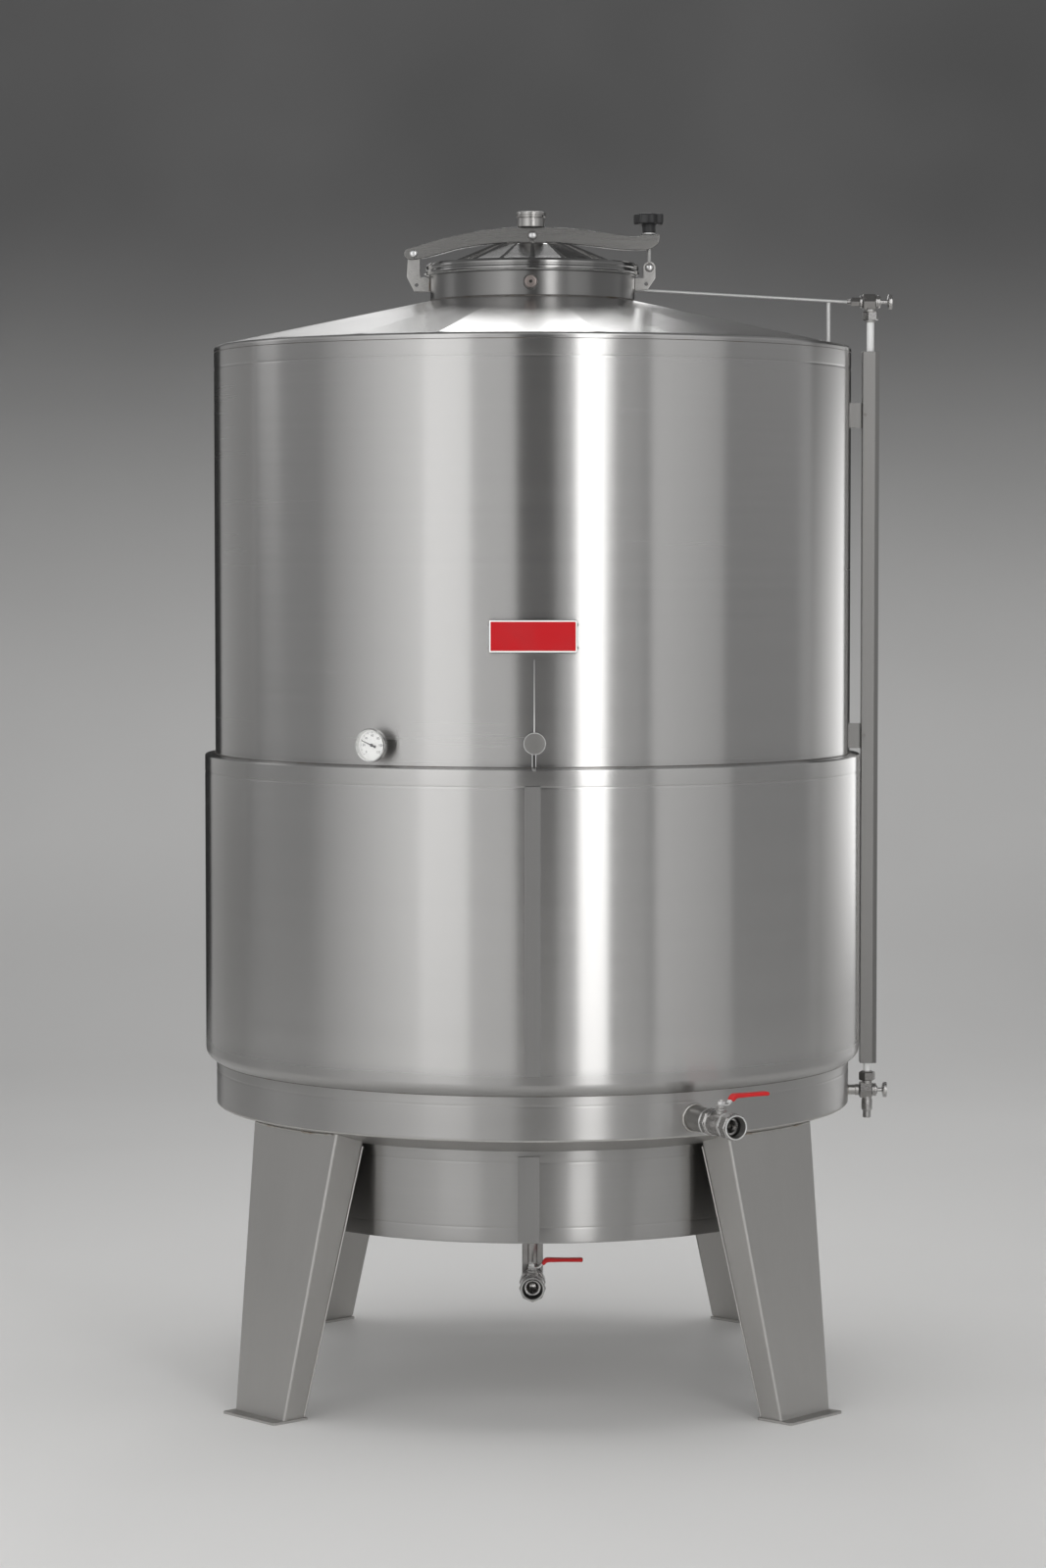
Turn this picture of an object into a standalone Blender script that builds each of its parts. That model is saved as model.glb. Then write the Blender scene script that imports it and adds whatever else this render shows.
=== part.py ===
"""Vertical storage tank: a stainless steel tank on four box legs, with a cone roof, a top manhole and a level gauge.

Metres, +Z up. The floor is z = 0 and the camera of the reference view looks along +Y, so the front is -Y.
The origin is the middle of the object's footprint box; every piece hangs from the empty tank_axis.
"""

import math

import bmesh
import bpy
from mathutils import Matrix, Vector

# Where the tank's own axis stands, so that the whole footprint is centred on the origin
AXIS_X = -0.031
AXIS_Y = 0.023
GAP = 0.0003
ROUND_STEPS = 60
NECK_STEPS = 40
SMALL_STEPS = 16

# Shell, roof and bottom cone
SHELL_R = 0.635
SHELL_WALL = 0.003
SHELL_LOW = 0.5553
SHELL_TOP = 2.045
ROOF_FOOT_R = 0.627
ROOF_FOOT_Z = 2.059
ROOF_SLOPE = 0.2151
ROOF_WALL = 0.0025
CONE_RIM_R = 0.632
CONE_RIM_Z = 0.550
CONE_SLOPE = 0.322
CONE_WALL = 0.003

# Manhole and its lid
NECK_R = 0.2037
NECK_WALL = 0.003
NECK_TOP = 2.2015
NECK_LOW = 2.130
LID_TOP_Z = 2.2645
PLUG_X = -0.0035
PLUG_Z = 2.177
PIVOT = (-0.2372, 2.2450)
STUD_X = 0.2325
TRUNNION_Z = 2.2175
ARM_THICK = 0.024
ARM_PIN_Z = 2.281

# Jacket and casing
JACKET_R = 0.656
JACKET_TOP = 1.249
JACKET_LOW = 0.6625
CASING_R = 0.5465
CASING_LOW = 0.346
SHEET = 0.002

# Legs, as radial distance and half width at the tank and at the foot
LEG_ANGLES = {"leg_front_left": -47.5, "leg_front_right": 47.5, "leg_back_right": 137.5, "leg_back_left": -137.5}
LEG_TOP_Z = 0.555
LEG_TOP_OUT = 0.618
LEG_TOP_IN = 0.5495
LEG_TOP_HALF = 0.1255
LEG_FOOT_OUT = 0.7076
LEG_FOOT_IN = 0.6556
LEG_FOOT_HALF = 0.074
LEG_WALL = 0.003
FOOT_THICK = 0.005
FOOT_OUT = 0.735
FOOT_IN = 0.651
FOOT_HALF = 0.078

# Level gauge on the right
GAUGE_X = 0.675
GAUGE_LOW_Z = 0.5675
GAUGE_TOP_Z = 2.150
COCK_HALF = 0.016
TUBE_R = 0.0075
GUARD_LOW = 0.623
GUARD_TOP = 2.051

# Valves
SIDE_ANGLE = 28.7
SIDE_Z = 0.587
SIDE_STEM_R = 0.732
DRAIN_R = 0.0213
DRAIN_Z = 0.184
DRAIN_STEM_Y = -0.085
ELBOW_R = 0.036
BORE_R = 0.0125
BALL_R = 0.0172
BALL_SEAT_R = 0.0178

# Dial thermometer and small plates
DIAL_ANGLE = -27.0
DIAL_Z = 1.291
DIAL_R = 0.0315
DIAL_BACK = 0.655
POINTER_TURN = 158.7
PLATE_W = 0.163
PLATE_H = 0.060
PLATE_Z = 1.495
DISC_X = 0.004
DISC_Z = 1.296
DISC_R = 0.0205


def clear_scene():
    """Takes every object out of the open file."""
    for old in list(bpy.data.objects):
        bpy.data.objects.remove(old, do_unlink=True)


def finish_material(name, color, metallic, roughness):
    """A plain Principled material of this colour."""
    material = bpy.data.materials.new(name)
    material.use_nodes = True
    shader = material.node_tree.nodes["Principled BSDF"]
    shader.inputs["Base Color"].default_value = (*color, 1.0)
    shader.inputs["Metallic"].default_value = metallic
    shader.inputs["Roughness"].default_value = roughness
    return material


def make_object(name, bm, material, parent, smooth=35.0):
    """Turns a bmesh into an object under its parent, shaded smooth below the given angle."""
    bmesh.ops.recalc_face_normals(bm, faces=bm.faces)
    mesh = bpy.data.meshes.new(name)
    bm.to_mesh(mesh)
    bm.free()
    mesh.shade_smooth()
    mesh.set_sharp_from_angle(angle=math.radians(smooth))
    thing = bpy.data.objects.new(name, mesh)
    bpy.context.scene.collection.objects.link(thing)
    thing.parent = parent
    if material:
        mesh.materials.append(material)
    return thing


def turned(outline, steps, closed):
    """Spins an outline of (radius, height) points about Z. An open outline starts and ends on the axis."""
    bm = bmesh.new()
    points = [bm.verts.new((radius, 0.0, height)) for radius, height in outline]
    count = len(points) if closed else len(points) - 1
    for index in range(count):
        bm.edges.new((points[index], points[(index + 1) % len(points)]))
    bmesh.ops.spin(bm, geom=bm.verts[:] + bm.edges[:], cent=(0, 0, 0), axis=(0, 0, 1),
                   angle=2 * math.pi, steps=steps, use_merge=True)
    bmesh.ops.remove_doubles(bm, verts=bm.verts, dist=1e-6)
    return bm


def solid_round(outline, steps=SMALL_STEPS):
    """A turned solid; the outline is given without its two points on the axis."""
    low, high = outline[0][1], outline[-1][1]
    return turned([(0.0, low)] + outline + [(0.0, high)], steps, closed=False)


def cylinder(radius, low, high, steps=SMALL_STEPS):
    """A plain cylinder along Z."""
    return solid_round([(radius, low), (radius, high)], steps)


def block(low, high):
    """A box between two corners."""
    bm = bmesh.new()
    size = [b - a for a, b in zip(low, high)]
    middle = [(a + b) / 2 for a, b in zip(low, high)]
    bmesh.ops.create_cube(bm, size=1.0, matrix=Matrix.Translation(middle) @ Matrix.Diagonal((*size, 1.0)))
    return bm


def extruded(outline, low, high, plane="XZ"):
    """An outline in the XZ plane drawn along Y, or in the XY plane drawn along Z, between two places."""
    bm = bmesh.new()
    if plane == "XZ":
        points = [bm.verts.new((a, low, b)) for a, b in outline]
        step = Vector((0, high - low, 0))
    else:
        points = [bm.verts.new((a, b, low)) for a, b in outline]
        step = Vector((0, 0, high - low))
    face = bm.faces.new(points)
    raised = bmesh.ops.extrude_face_region(bm, geom=[face])
    moved = [item for item in raised["geom"] if isinstance(item, bmesh.types.BMVert)]
    bmesh.ops.translate(bm, vec=step, verts=moved)
    return bm


def placed(bm, matrix):
    """Moves a bmesh by a matrix."""
    bmesh.ops.transform(bm, matrix=matrix, verts=bm.verts)
    return bm


def along_x(x=0.0, y=0.0, z=0.0):
    """Lays a turned shape's axis along +X, from this point."""
    return Matrix.Translation((x, y, z)) @ Matrix.Rotation(math.radians(90), 4, "Y")


def along_front(x=0.0, y=0.0, z=0.0):
    """Lays a turned shape's axis along -Y, from this point."""
    return Matrix.Translation((x, y, z)) @ Matrix.Rotation(math.radians(90), 4, "X")


def arc(center, radius, start, end, count):
    """Points on an arc, angles in degrees, counterclockwise from the first axis."""
    step = (end - start) / (count - 1)
    turns = [math.radians(start + step * index) for index in range(count)]
    return [(center[0] + radius * math.cos(t), center[1] + radius * math.sin(t)) for t in turns]


def tool(name, bm, parent):
    """A helper shape for a Boolean, left out of the part."""
    thing = make_object(name, bm, None, parent)
    thing.hide_render = True
    thing.display_type = "WIRE"
    return thing


def combine(thing, helper, operation):
    """Adds an exact Boolean with the helper."""
    modifier = thing.modifiers.new(helper.name, "BOOLEAN")
    modifier.operation = operation
    modifier.solver = "EXACT"
    modifier.object = helper


def cone_under(radius):
    """Height of the bottom cone's underside at this radius."""
    return CONE_RIM_Z - (CONE_RIM_R - radius) * CONE_SLOPE


def roof_over(radius):
    """Height of the roof's upper face at this radius."""
    return ROOF_FOOT_Z + (ROOF_FOOT_R - radius) * ROOF_SLOPE


def build_vessel(axis, steel, grey):
    """Shell, roof cone, bottom cone and manhole neck."""
    inner = SHELL_R - SHELL_WALL
    shell = [(SHELL_R, SHELL_LOW), (SHELL_R, SHELL_TOP), (inner, SHELL_TOP), (inner, SHELL_LOW)]
    make_object("shell", turned(shell, ROUND_STEPS, True), steel, axis)
    hole = NECK_R + 2 * GAP
    roof = [
        (SHELL_R, SHELL_TOP + GAP), (SHELL_R, 2.0510), (0.6325, 2.0565), (ROOF_FOOT_R, ROOF_FOOT_Z),
        (hole, roof_over(hole)), (hole, roof_over(hole) - ROOF_WALL),
        (ROOF_FOOT_R - 0.0006, ROOF_FOOT_Z - ROOF_WALL), (0.6303, 2.0545), (inner, 2.0505), (inner, SHELL_TOP + GAP),
    ]
    make_object("roof_cone", turned(roof, ROUND_STEPS, True), steel, axis)
    drain_hole = DRAIN_R + GAP
    bottom = [
        (drain_hole, cone_under(drain_hole)), (CONE_RIM_R, CONE_RIM_Z), (0.6345, 0.5520), (SHELL_R, 0.5550),
        (inner, 0.5550), (inner - 0.001, 0.5535), (drain_hole, cone_under(drain_hole) + CONE_WALL),
    ]
    make_object("bottom_cone", turned(bottom, ROUND_STEPS, True), grey, axis)
    bore = NECK_R - NECK_WALL
    neck = [(NECK_R, NECK_LOW), (NECK_R, NECK_TOP), (bore, NECK_TOP), (bore, NECK_LOW)]
    make_object("manhole_neck", turned(neck, NECK_STEPS, True), steel, axis)
    plug = solid_round([(0.0145, 0.0), (0.0145, 0.006), (0.0110, 0.0075), (0.0110, 0.0100)])
    make_object("neck_plug", placed(plug, along_front(PLUG_X, -NECK_R - GAP, PLUG_Z)), grey, axis)


def build_lid(axis, steel, white, cast):
    """The lid with its rolled rim and lug, its gasket, and the pin that holds it to the arm."""
    outline = [
        (0.2000, 2.2062), (0.2088, 2.2062), (0.2088, 2.2030), (0.2110, 2.2024), (0.2125, 2.2045),
        (0.2125, 2.2085), (0.2105, 2.2110), (0.2115, 2.2140), (0.2105, 2.2200), (0.2075, 2.2235),
        (0.2000, 2.2240), (0.1600, 2.2285), (0.1410, 2.2350), (0.0800, 2.2605), (0.0680, 2.2640), (0.0, LID_TOP_Z),
    ]
    under = [
        (0.0, LID_TOP_Z - 0.0025), (0.0670, 2.2615), (0.0790, 2.2580), (0.1400, 2.2325),
        (0.1590, 2.2260), (0.2000, 2.2215),
    ]
    bm = bmesh.new()
    points = [bm.verts.new((radius, 0.0, height)) for radius, height in outline + under]
    for index, point in enumerate(points):
        if index != len(outline) - 1:
            bm.edges.new((point, points[(index + 1) % len(points)]))
    bmesh.ops.spin(bm, geom=bm.verts[:] + bm.edges[:], cent=(0, 0, 0), axis=(0, 0, 1),
                   angle=2 * math.pi, steps=NECK_STEPS, use_merge=True)
    bmesh.ops.remove_doubles(bm, verts=bm.verts, dist=1e-6)
    lid = make_object("lid", bm, steel, axis)
    lug_x, lug_y, lug_top = 0.0150, 0.0060, 2.2885
    combine(lid, tool("lug", block((-lug_x, -lug_y, LID_TOP_Z - 0.0015), (lug_x, lug_y, lug_top)), axis), "UNION")
    combine(lid, tool("lug_hole", placed(cylinder(0.0043, -0.02, 0.02), along_front(0, 0, ARM_PIN_Z)), axis),
            "DIFFERENCE")
    gasket = [(0.2085, 2.2018), (0.2085, 2.2059), (0.1970, 2.2059), (0.1970, 2.2018)]
    make_object("lid_gasket", turned(gasket, NECK_STEPS, True), white, axis)
    half = ARM_THICK / 2
    pin = [(0.0080, -half - 0.0030), (0.0080, -half - GAP), (0.0040, -half - GAP),
           (0.0040, half + GAP), (0.0080, half + GAP), (0.0080, half + 0.0030)]
    make_object("arm_pin", placed(solid_round(pin), along_front(0, 0, ARM_PIN_Z)), cast, axis)


def build_arm(axis, steel, cast):
    """The clamp arm: a curved cast bar with a fork at each end, and the breather cap on its middle."""
    half = ARM_THICK / 2
    ear = arc((-0.2445, PIVOT[1]), 0.0115, 100, 270, 8)
    below = [
        (-0.2230, 2.2352), (-0.1967, 2.2413), (-0.1479, 2.2545), (-0.0851, 2.2640), (-0.0450, 2.2672),
        (0.0443, 2.2672), (0.0810, 2.2640), (0.1158, 2.2604), (0.1507, 2.2560), (0.1769, 2.2534),
        (0.2031, 2.2520), (0.2292, 2.2534), (0.2414, 2.2575), (0.2505, 2.2660), (0.2536, 2.2760),
    ]
    above = [
        (0.2527, 2.2850), (0.2470, 2.2834), (0.2185, 2.2834), (0.2080, 2.2785), (0.1734, 2.2817),
        (0.1333, 2.2881), (0.0844, 2.2945), (0.0269, 2.2976), (-0.0310, 2.2976), (-0.0781, 2.2935),
        (-0.1234, 2.2880), (-0.1583, 2.2803), (-0.1967, 2.2705), (-0.2334, 2.2595),
    ]
    arm = make_object("lid_arm", extruded(ear + below + above, -half, half), cast, axis)
    cuts = {
        "hinge_slot": block((-0.30, -0.0055, 2.20), (-0.2210, 0.0055, 2.30)),
        "stud_slot": block((0.2265, -0.0050, 2.20), (0.30, 0.0050, 2.33)),
        "lug_pocket": block((-0.0155, -0.0065, 2.25), (0.0155, 0.0065, 2.2890)),
        "arm_bore": placed(cylinder(0.0043, -0.03, 0.03), along_front(0, 0, ARM_PIN_Z)),
        "pivot_bore": placed(cylinder(0.0054, -0.03, 0.03), along_front(PIVOT[0], 0, PIVOT[1])),
    }
    for name, bm in cuts.items():
        combine(arm, tool(name, bm, axis), "DIFFERENCE")
    cap_low = 2.2979
    cap = solid_round([(0.0270, cap_low), (0.0270, 2.3160), (0.0290, 2.3175), (0.0290, 2.3265), (0.0275, 2.3280)], 32)
    make_object("breather_cap", placed(cap, Matrix.Translation((-0.003, 0, 0))), steel, axis)


def build_brackets(axis, cast):
    """Hinge bracket on the left of the neck and clamp bracket on its right, each with its pin."""
    root = NECK_R + GAP
    px, pz = PIVOT
    plate = arc(PIVOT, 0.0118, 0, 180, 9) + [
        (px - 0.0118, 2.2323), (-0.2508, 2.1993), (-0.2363, 2.1706), (-root, 2.1700), (-root, 2.1977),
        (-0.2240, 2.1990), (px + 0.0118, 2.2357),
    ]
    hinge = make_object("hinge_bracket", extruded(plate, -0.0050, 0.0050), cast, axis)
    pin = [(0.0075, -0.0145), (0.0075, -0.0125), (0.0050, -0.0125), (0.0050, 0.0125), (0.0075, 0.0125),
           (0.0075, 0.0145)]
    combine(hinge, tool("hinge_pin", placed(solid_round(pin), along_front(px, 0, pz)), axis), "UNION")
    combine(hinge, tool("hinge_hole", placed(cylinder(0.0040, -0.02, 0.02), along_front(-0.2316, 0, 2.1836)), axis),
            "DIFFERENCE")
    ear = arc((STUD_X + 0.0005, TRUNNION_Z), 0.0120, 0, 180, 9)
    cheek = ear + [(0.2206, 2.1971), (root, 2.1971), (root, 2.1737), (0.2294, 2.1737), (0.2447, 2.1971)]
    clamp = make_object("clamp_bracket", extruded(cheek, -0.0090, -0.0060), cast, axis)
    combine(clamp, tool("far_cheek", extruded(cheek, 0.0060, 0.0090), axis), "UNION")
    trunnion = [(0.0070, -0.0115), (0.0070, -0.0085), (0.0060, -0.0085), (0.0060, 0.0085), (0.0070, 0.0085),
                (0.0070, 0.0115)]
    combine(clamp, tool("trunnion", placed(solid_round(trunnion), along_front(STUD_X + 0.0005, 0, TRUNNION_Z)), axis),
            "UNION")
    combine(clamp, tool("clamp_hole", placed(cylinder(0.0040, -0.02, 0.02), along_front(0.2268, 0, 2.1855)), axis),
            "DIFFERENCE")


def build_clamp_screw(axis, steel, black):
    """The clamp's stud with its washer, and the star knob on top of it."""
    foot, washer, hub, disc, top = TRUNNION_Z + 0.0060 + GAP, 2.2837, 2.2876, 2.3035, 2.3245
    stud = [(0.0040, foot), (0.0040, washer), (0.0125, washer), (0.0125, hub - GAP), (0.0040, hub - GAP),
            (0.0040, 2.3120)]
    turn = Matrix.Translation((STUD_X, 0, 0))
    make_object("clamp_stud", placed(solid_round(stud), turn), steel, axis)
    knob = make_object("clamp_knob", placed(cylinder(0.0133, hub, disc + 0.001, 20), turn), black, axis)
    lobes, points = 7, []
    for index in range(lobes * 6):
        angle = 2 * math.pi * index / (lobes * 6)
        radius = 0.0280 + 0.0025 * math.cos(lobes * angle)
        points.append((STUD_X + radius * math.cos(angle), radius * math.sin(angle)))
    combine(knob, tool("star", extruded(points, disc, top, "XY"), axis), "UNION")
    combine(knob, tool("knob_bore", placed(cylinder(0.0043, 2.28, 2.3123), turn), axis), "DIFFERENCE")


def build_jacket(axis, steel):
    """The jacket round the lower half, its seam strip, the casing under the tank and the casing's strip."""
    wall = SHELL_R + GAP
    jacket = [
        (wall, 0.6380), (0.6480, 0.6462), (0.6545, 0.6540), (JACKET_R, JACKET_LOW),
        (JACKET_R, JACKET_TOP - 0.003), (JACKET_R - 0.0015, JACKET_TOP),
        (wall, JACKET_TOP + 0.0070), (wall, JACKET_TOP + 0.0048), (JACKET_R - 0.0028, JACKET_TOP - 0.0022),
        (JACKET_R - SHEET, JACKET_TOP - 0.0040), (JACKET_R - SHEET, JACKET_LOW + 0.0006),
        (0.6528, 0.6556), (0.6468, 0.6482), (wall, 0.6410),
    ]
    make_object("jacket", turned(jacket, ROUND_STEPS, True), steel, axis)
    strip = block((-0.015, -JACKET_R - SHEET, 0.676), (0.015, -JACKET_R - GAP, 1.217))
    make_object("jacket_seam", strip, steel, axis)
    hole, inside = DRAIN_R + GAP, CASING_R - SHEET
    casing = [
        (hole, CASING_LOW), (CASING_R - 0.003, CASING_LOW), (CASING_R, CASING_LOW + 0.003),
        (CASING_R, cone_under(CASING_R) - GAP), (inside, cone_under(inside) - GAP),
        (inside, CASING_LOW + 0.003), (inside - 0.001, CASING_LOW + SHEET), (hole, CASING_LOW + SHEET),
    ]
    make_object("casing", turned(casing, ROUND_STEPS, True), steel, axis)
    strip = block((-0.0275, -CASING_R - SHEET, 0.350), (0.0135, -CASING_R - GAP, 0.512))
    make_object("casing_seam", strip, steel, axis)


def frustum(low_z, high_z, shrink):
    """A leg's box between two heights, drawn in by shrink on every side; outward is -Y."""
    bm = bmesh.new()
    rings = []
    for z in (low_z, high_z):
        share = (z - FOOT_THICK) / (LEG_TOP_Z - FOOT_THICK)
        out = LEG_FOOT_OUT + (LEG_TOP_OUT - LEG_FOOT_OUT) * share - shrink
        near = LEG_FOOT_IN + (LEG_TOP_IN - LEG_FOOT_IN) * share + shrink
        half = LEG_FOOT_HALF + (LEG_TOP_HALF - LEG_FOOT_HALF) * share - shrink
        corners = ((-half, -out), (half, -out), (half, -near), (-half, -near))
        rings.append([bm.verts.new((x, y, z)) for x, y in corners])
    low, high = rings
    bm.faces.new(low)
    bm.faces.new(high)
    for index in range(4):
        after = (index + 1) % 4
        bm.faces.new((low[index], low[after], high[after], high[index]))
    return bm


def build_legs(axis, grey):
    """Four tapered box legs, open at the top under the cone and closed by their foot plates."""
    rim = CONE_RIM_R + 0.05
    above = solid_round([(rim, 0.70), (rim, cone_under(rim) - GAP), (0.010, cone_under(0.010) - GAP)], ROUND_STEPS)
    cone_cut = tool("cone_room", above, axis)
    for name, angle in LEG_ANGLES.items():
        leg = make_object(name, frustum(FOOT_THICK - 0.001, LEG_TOP_Z + 0.03, 0.0), grey, axis)
        leg.rotation_euler.z = math.radians(angle)
        inside = tool(name + "_inside", frustum(-0.02, LEG_TOP_Z + 0.05, LEG_WALL), axis)
        plate = tool(name + "_plate", block((-FOOT_HALF, -FOOT_OUT, 0.0), (FOOT_HALF, -FOOT_IN, FOOT_THICK)), axis)
        inside.rotation_euler.z = plate.rotation_euler.z = math.radians(angle)
        combine(leg, inside, "DIFFERENCE")
        combine(leg, plate, "UNION")
        combine(leg, cone_cut, "DIFFERENCE")


def build_gauge(axis, steel, grey, glass):
    """Level gauge: two cocks with handwheels, glass tube, guard channel, brackets, stub, vent tube and post."""
    wall = SHELL_R + GAP
    half = COCK_HALF
    body_in, body_out = GAUGE_X - half, GAUGE_X + half + 0.005
    top = make_object("upper_cock", block((body_in - 0.002, -half, GAUGE_TOP_Z - half),
                                          (body_out, half, GAUGE_TOP_Z + half)), grey, axis)
    side = [(0.0045, 0.0), (0.0060, 0.006), (0.0090, 0.010), (0.0090, 0.031)]
    nut = [(0.0100, 2.1100), (0.0168, 2.1130), (0.0168, 2.1310), (0.0100, 2.1325), (0.0100, GAUGE_TOP_Z)]
    combine(top, tool("vent_fitting", placed(solid_round(side), along_x(0.6285, 0, GAUGE_TOP_Z)), axis), "UNION")
    combine(top, tool("upper_nut", placed(solid_round(nut, 6), Matrix.Translation((GAUGE_X, 0, 0))), axis), "UNION")
    low = make_object("lower_cock", block((body_in, -half, GAUGE_LOW_Z - half),
                                          (body_out, half, GAUGE_LOW_Z + half)), grey, axis)
    nut = [(0.0080, 0.5110), (0.0080, 0.5265), (0.0110, 0.5275), (0.0110, 0.5850), (0.0172, 0.5865),
           (0.0172, 0.6045), (0.0100, 0.6060)]
    combine(low, tool("lower_nut", placed(solid_round(nut, 12), Matrix.Translation((GAUGE_X, 0, 0))), axis), "UNION")
    for name, z, out in (("upper_knob", GAUGE_TOP_Z, 0.7180), ("lower_knob", GAUGE_LOW_Z, 0.7145)):
        reach = out - body_out
        wheel = [(0.0040, GAP), (0.0040, reach - 0.0085), (0.0155, reach - 0.0075), (0.0155, reach - 0.0010),
                 (0.0145, reach)]
        knob = make_object(name, placed(solid_round(wheel, 20), along_x()), grey, axis)
        knob.location = (body_out, 0, z)
    tube = [(TUBE_R, 0.6063), (TUBE_R, 2.1097), (0.0055, 2.1097), (0.0055, 0.6063)]
    make_object("gauge_tube", placed(turned(tube, SMALL_STEPS, True), Matrix.Translation((GAUGE_X, 0, 0))), glass, axis)
    x0, x1, x2, y1, y2, t = 0.6595, 0.6840, 0.6927, 0.0165, 0.0125, SHEET
    outer = [(x0, y1), (x0, -y1), (x1, -y1), (x2, -y2)]
    inner = [(x2 - 0.0004, -y2 + t), (x1, -y1 + t), (x0 + t, -y1 + t), (x0 + t, y1 - t), (x1, y1 - t),
             (x2 - 0.0004, y2 - t)]
    channel = outer + inner + [(x2, y2), (x1, y1)]
    make_object("gauge_guard", extruded(channel, GUARD_LOW, GUARD_TOP, "XY"), steel, axis)
    for name, z in (("guard_bracket_top", 1.899), ("guard_bracket_low", 1.258)):
        make_object(name, block((wall, -0.0020, z), (x0 - GAP, 0.0020, z + 0.050)), grey, axis)
    stub = cylinder(0.0110, wall, body_in - GAP)
    make_object("gauge_stub", placed(stub, along_x(0, 0, GAUGE_LOW_Z)), steel, axis)
    start, end = Vector((NECK_R + GAP + 0.0002, 0, 2.174)), Vector((0.6282, 0, GAUGE_TOP_Z))
    turn = (end - start).to_track_quat("Z", "Y").to_matrix().to_4x4()
    vent = placed(cylinder(0.0030, 0.0, (end - start).length, 12), Matrix.Translation(start) @ turn)
    make_object("vent_tube", vent, steel, axis)
    post_x = 0.591
    under = start.z + (end.z - start.z) * (post_x - start.x) / (end.x - start.x) - 0.0030 - 0.0006
    post = placed(cylinder(0.0040, roof_over(post_x) + 0.0013, under, 12), Matrix.Translation((post_x, 0, 0)))
    make_object("vent_post", post, steel, axis)


def bent_pipe(rings, outer, inner, steps):
    """A pipe in the YZ plane through rings of (y, z, turn), where the turn is 0 going down and 90 degrees forward."""
    bm = bmesh.new()
    loops = []
    for radius in (outer, inner):
        for y, z, t in rings:
            loop = []
            for index in range(steps):
                angle = 2 * math.pi * index / steps
                reach = radius * math.sin(angle)
                place = (radius * math.cos(angle), y + reach * math.cos(t), z - reach * math.sin(t))
                loop.append(bm.verts.new(place))
            loops.append(loop)
    count = len(rings)
    order = loops[:count] + loops[count:][::-1]
    for here, there in zip(order, order[1:] + order[:1]):
        for index in range(steps):
            after = (index + 1) % steps
            bm.faces.new((here[index], here[after], there[after], there[index]))
    return bm


def valve_body(name, material, frame, inlet, outlet, axis):
    """A ball valve's body. Its axis is the frame's -Y and its stem the frame's Z; inlet and outlet are the
    distances of its two end faces from the stem."""
    edge = math.degrees(math.asin(BORE_R / BALL_SEAT_R))
    seat = [(radius, height) for height, radius in arc((0, 0), BALL_SEAT_R, edge, 180 - edge, 7)]
    outline = [
        (0.0250, -inlet), (0.0262, -inlet + 0.0015), (0.0262, -inlet + 0.0180), (0.0215, -inlet + 0.0195),
        (0.0215, outlet - 0.0265), (0.0268, outlet - 0.0245), (0.0268, outlet - 0.0015), (0.0255, outlet),
        (BORE_R, outlet),
    ] + seat + [(BORE_R, -inlet)]
    body = make_object(name, placed(turned(outline, 20, True), frame @ along_front()), material, axis)
    boss = [(0.0110, 0.0190), (0.0110, 0.0300), (0.0080, 0.0310), (0.0080, 0.0345)]
    combine(body, tool(name + "_boss", placed(solid_round(boss), frame), axis), "UNION")
    combine(body, tool(name + "_stem_hole", placed(cylinder(0.0045, 0.010, 0.05), frame), axis), "DIFFERENCE")


def build_valve_moving(prefix, frame, axis, chrome, steel, red):
    """Ball with its stem, lever and grip of a ball valve; the lever points along the frame's +X when shut."""
    spin = bpy.data.objects.new(prefix + "_stem_axis", None)
    bpy.context.scene.collection.objects.link(spin)
    spin.parent = axis
    spin.matrix_local = frame
    ball = bmesh.new()
    bmesh.ops.create_uvsphere(ball, u_segments=16, v_segments=12, radius=BALL_R)
    ball_piece = make_object(prefix + "_ball", ball, chrome, spin)
    combine(ball_piece, tool(prefix + "_port", placed(cylinder(BORE_R - 0.001, -0.03, 0.03, 20), along_x()), spin),
            "DIFFERENCE")
    combine(ball_piece, tool(prefix + "_stem", cylinder(0.0040, 0.0150, 0.0420), spin), "UNION")
    thick, half = 0.0030, 0.0065
    low = 0.0348
    bar = [(-0.0090, low), (0.0120, low), (0.0245, low + 0.0130), (0.0300, low + 0.0150), (0.0980, low + 0.0155),
           (0.0980, low + 0.0155 + thick), (0.0290, low + 0.0150 + thick), (0.0230, low + 0.0125 + thick),
           (0.0110, low + thick), (-0.0090, low + thick)]
    lever = make_object(prefix + "_lever", extruded(bar, -half, half), steel, spin)
    nut = tool(prefix + "_nut", solid_round([(0.0075, low + 0.001), (0.0075, low + 0.0090)], 6), spin)
    combine(lever, nut, "UNION")
    combine(lever, tool(prefix + "_square", cylinder(0.0043, low - 0.005, 0.0425), spin), "DIFFERENCE")
    sleeve_low, sleeve_high = low + 0.0155 - 0.0022, low + 0.0155 + thick + 0.0022
    grip = block((0.0330, -half - 0.0025, sleeve_low), (0.1010, half + 0.0025, sleeve_high))
    grip_piece = make_object(prefix + "_grip", grip, red, spin)
    room = [(0.0, low + 0.0148 - GAP), (0.0980 + GAP, low + 0.0155 - GAP),
            (0.0980 + GAP, low + 0.0155 + thick + GAP), (0.0, low + 0.0148 + thick + GAP)]
    combine(grip_piece, tool(prefix + "_grip_room", extruded(room, -half - GAP, half + GAP), spin), "DIFFERENCE")


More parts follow.
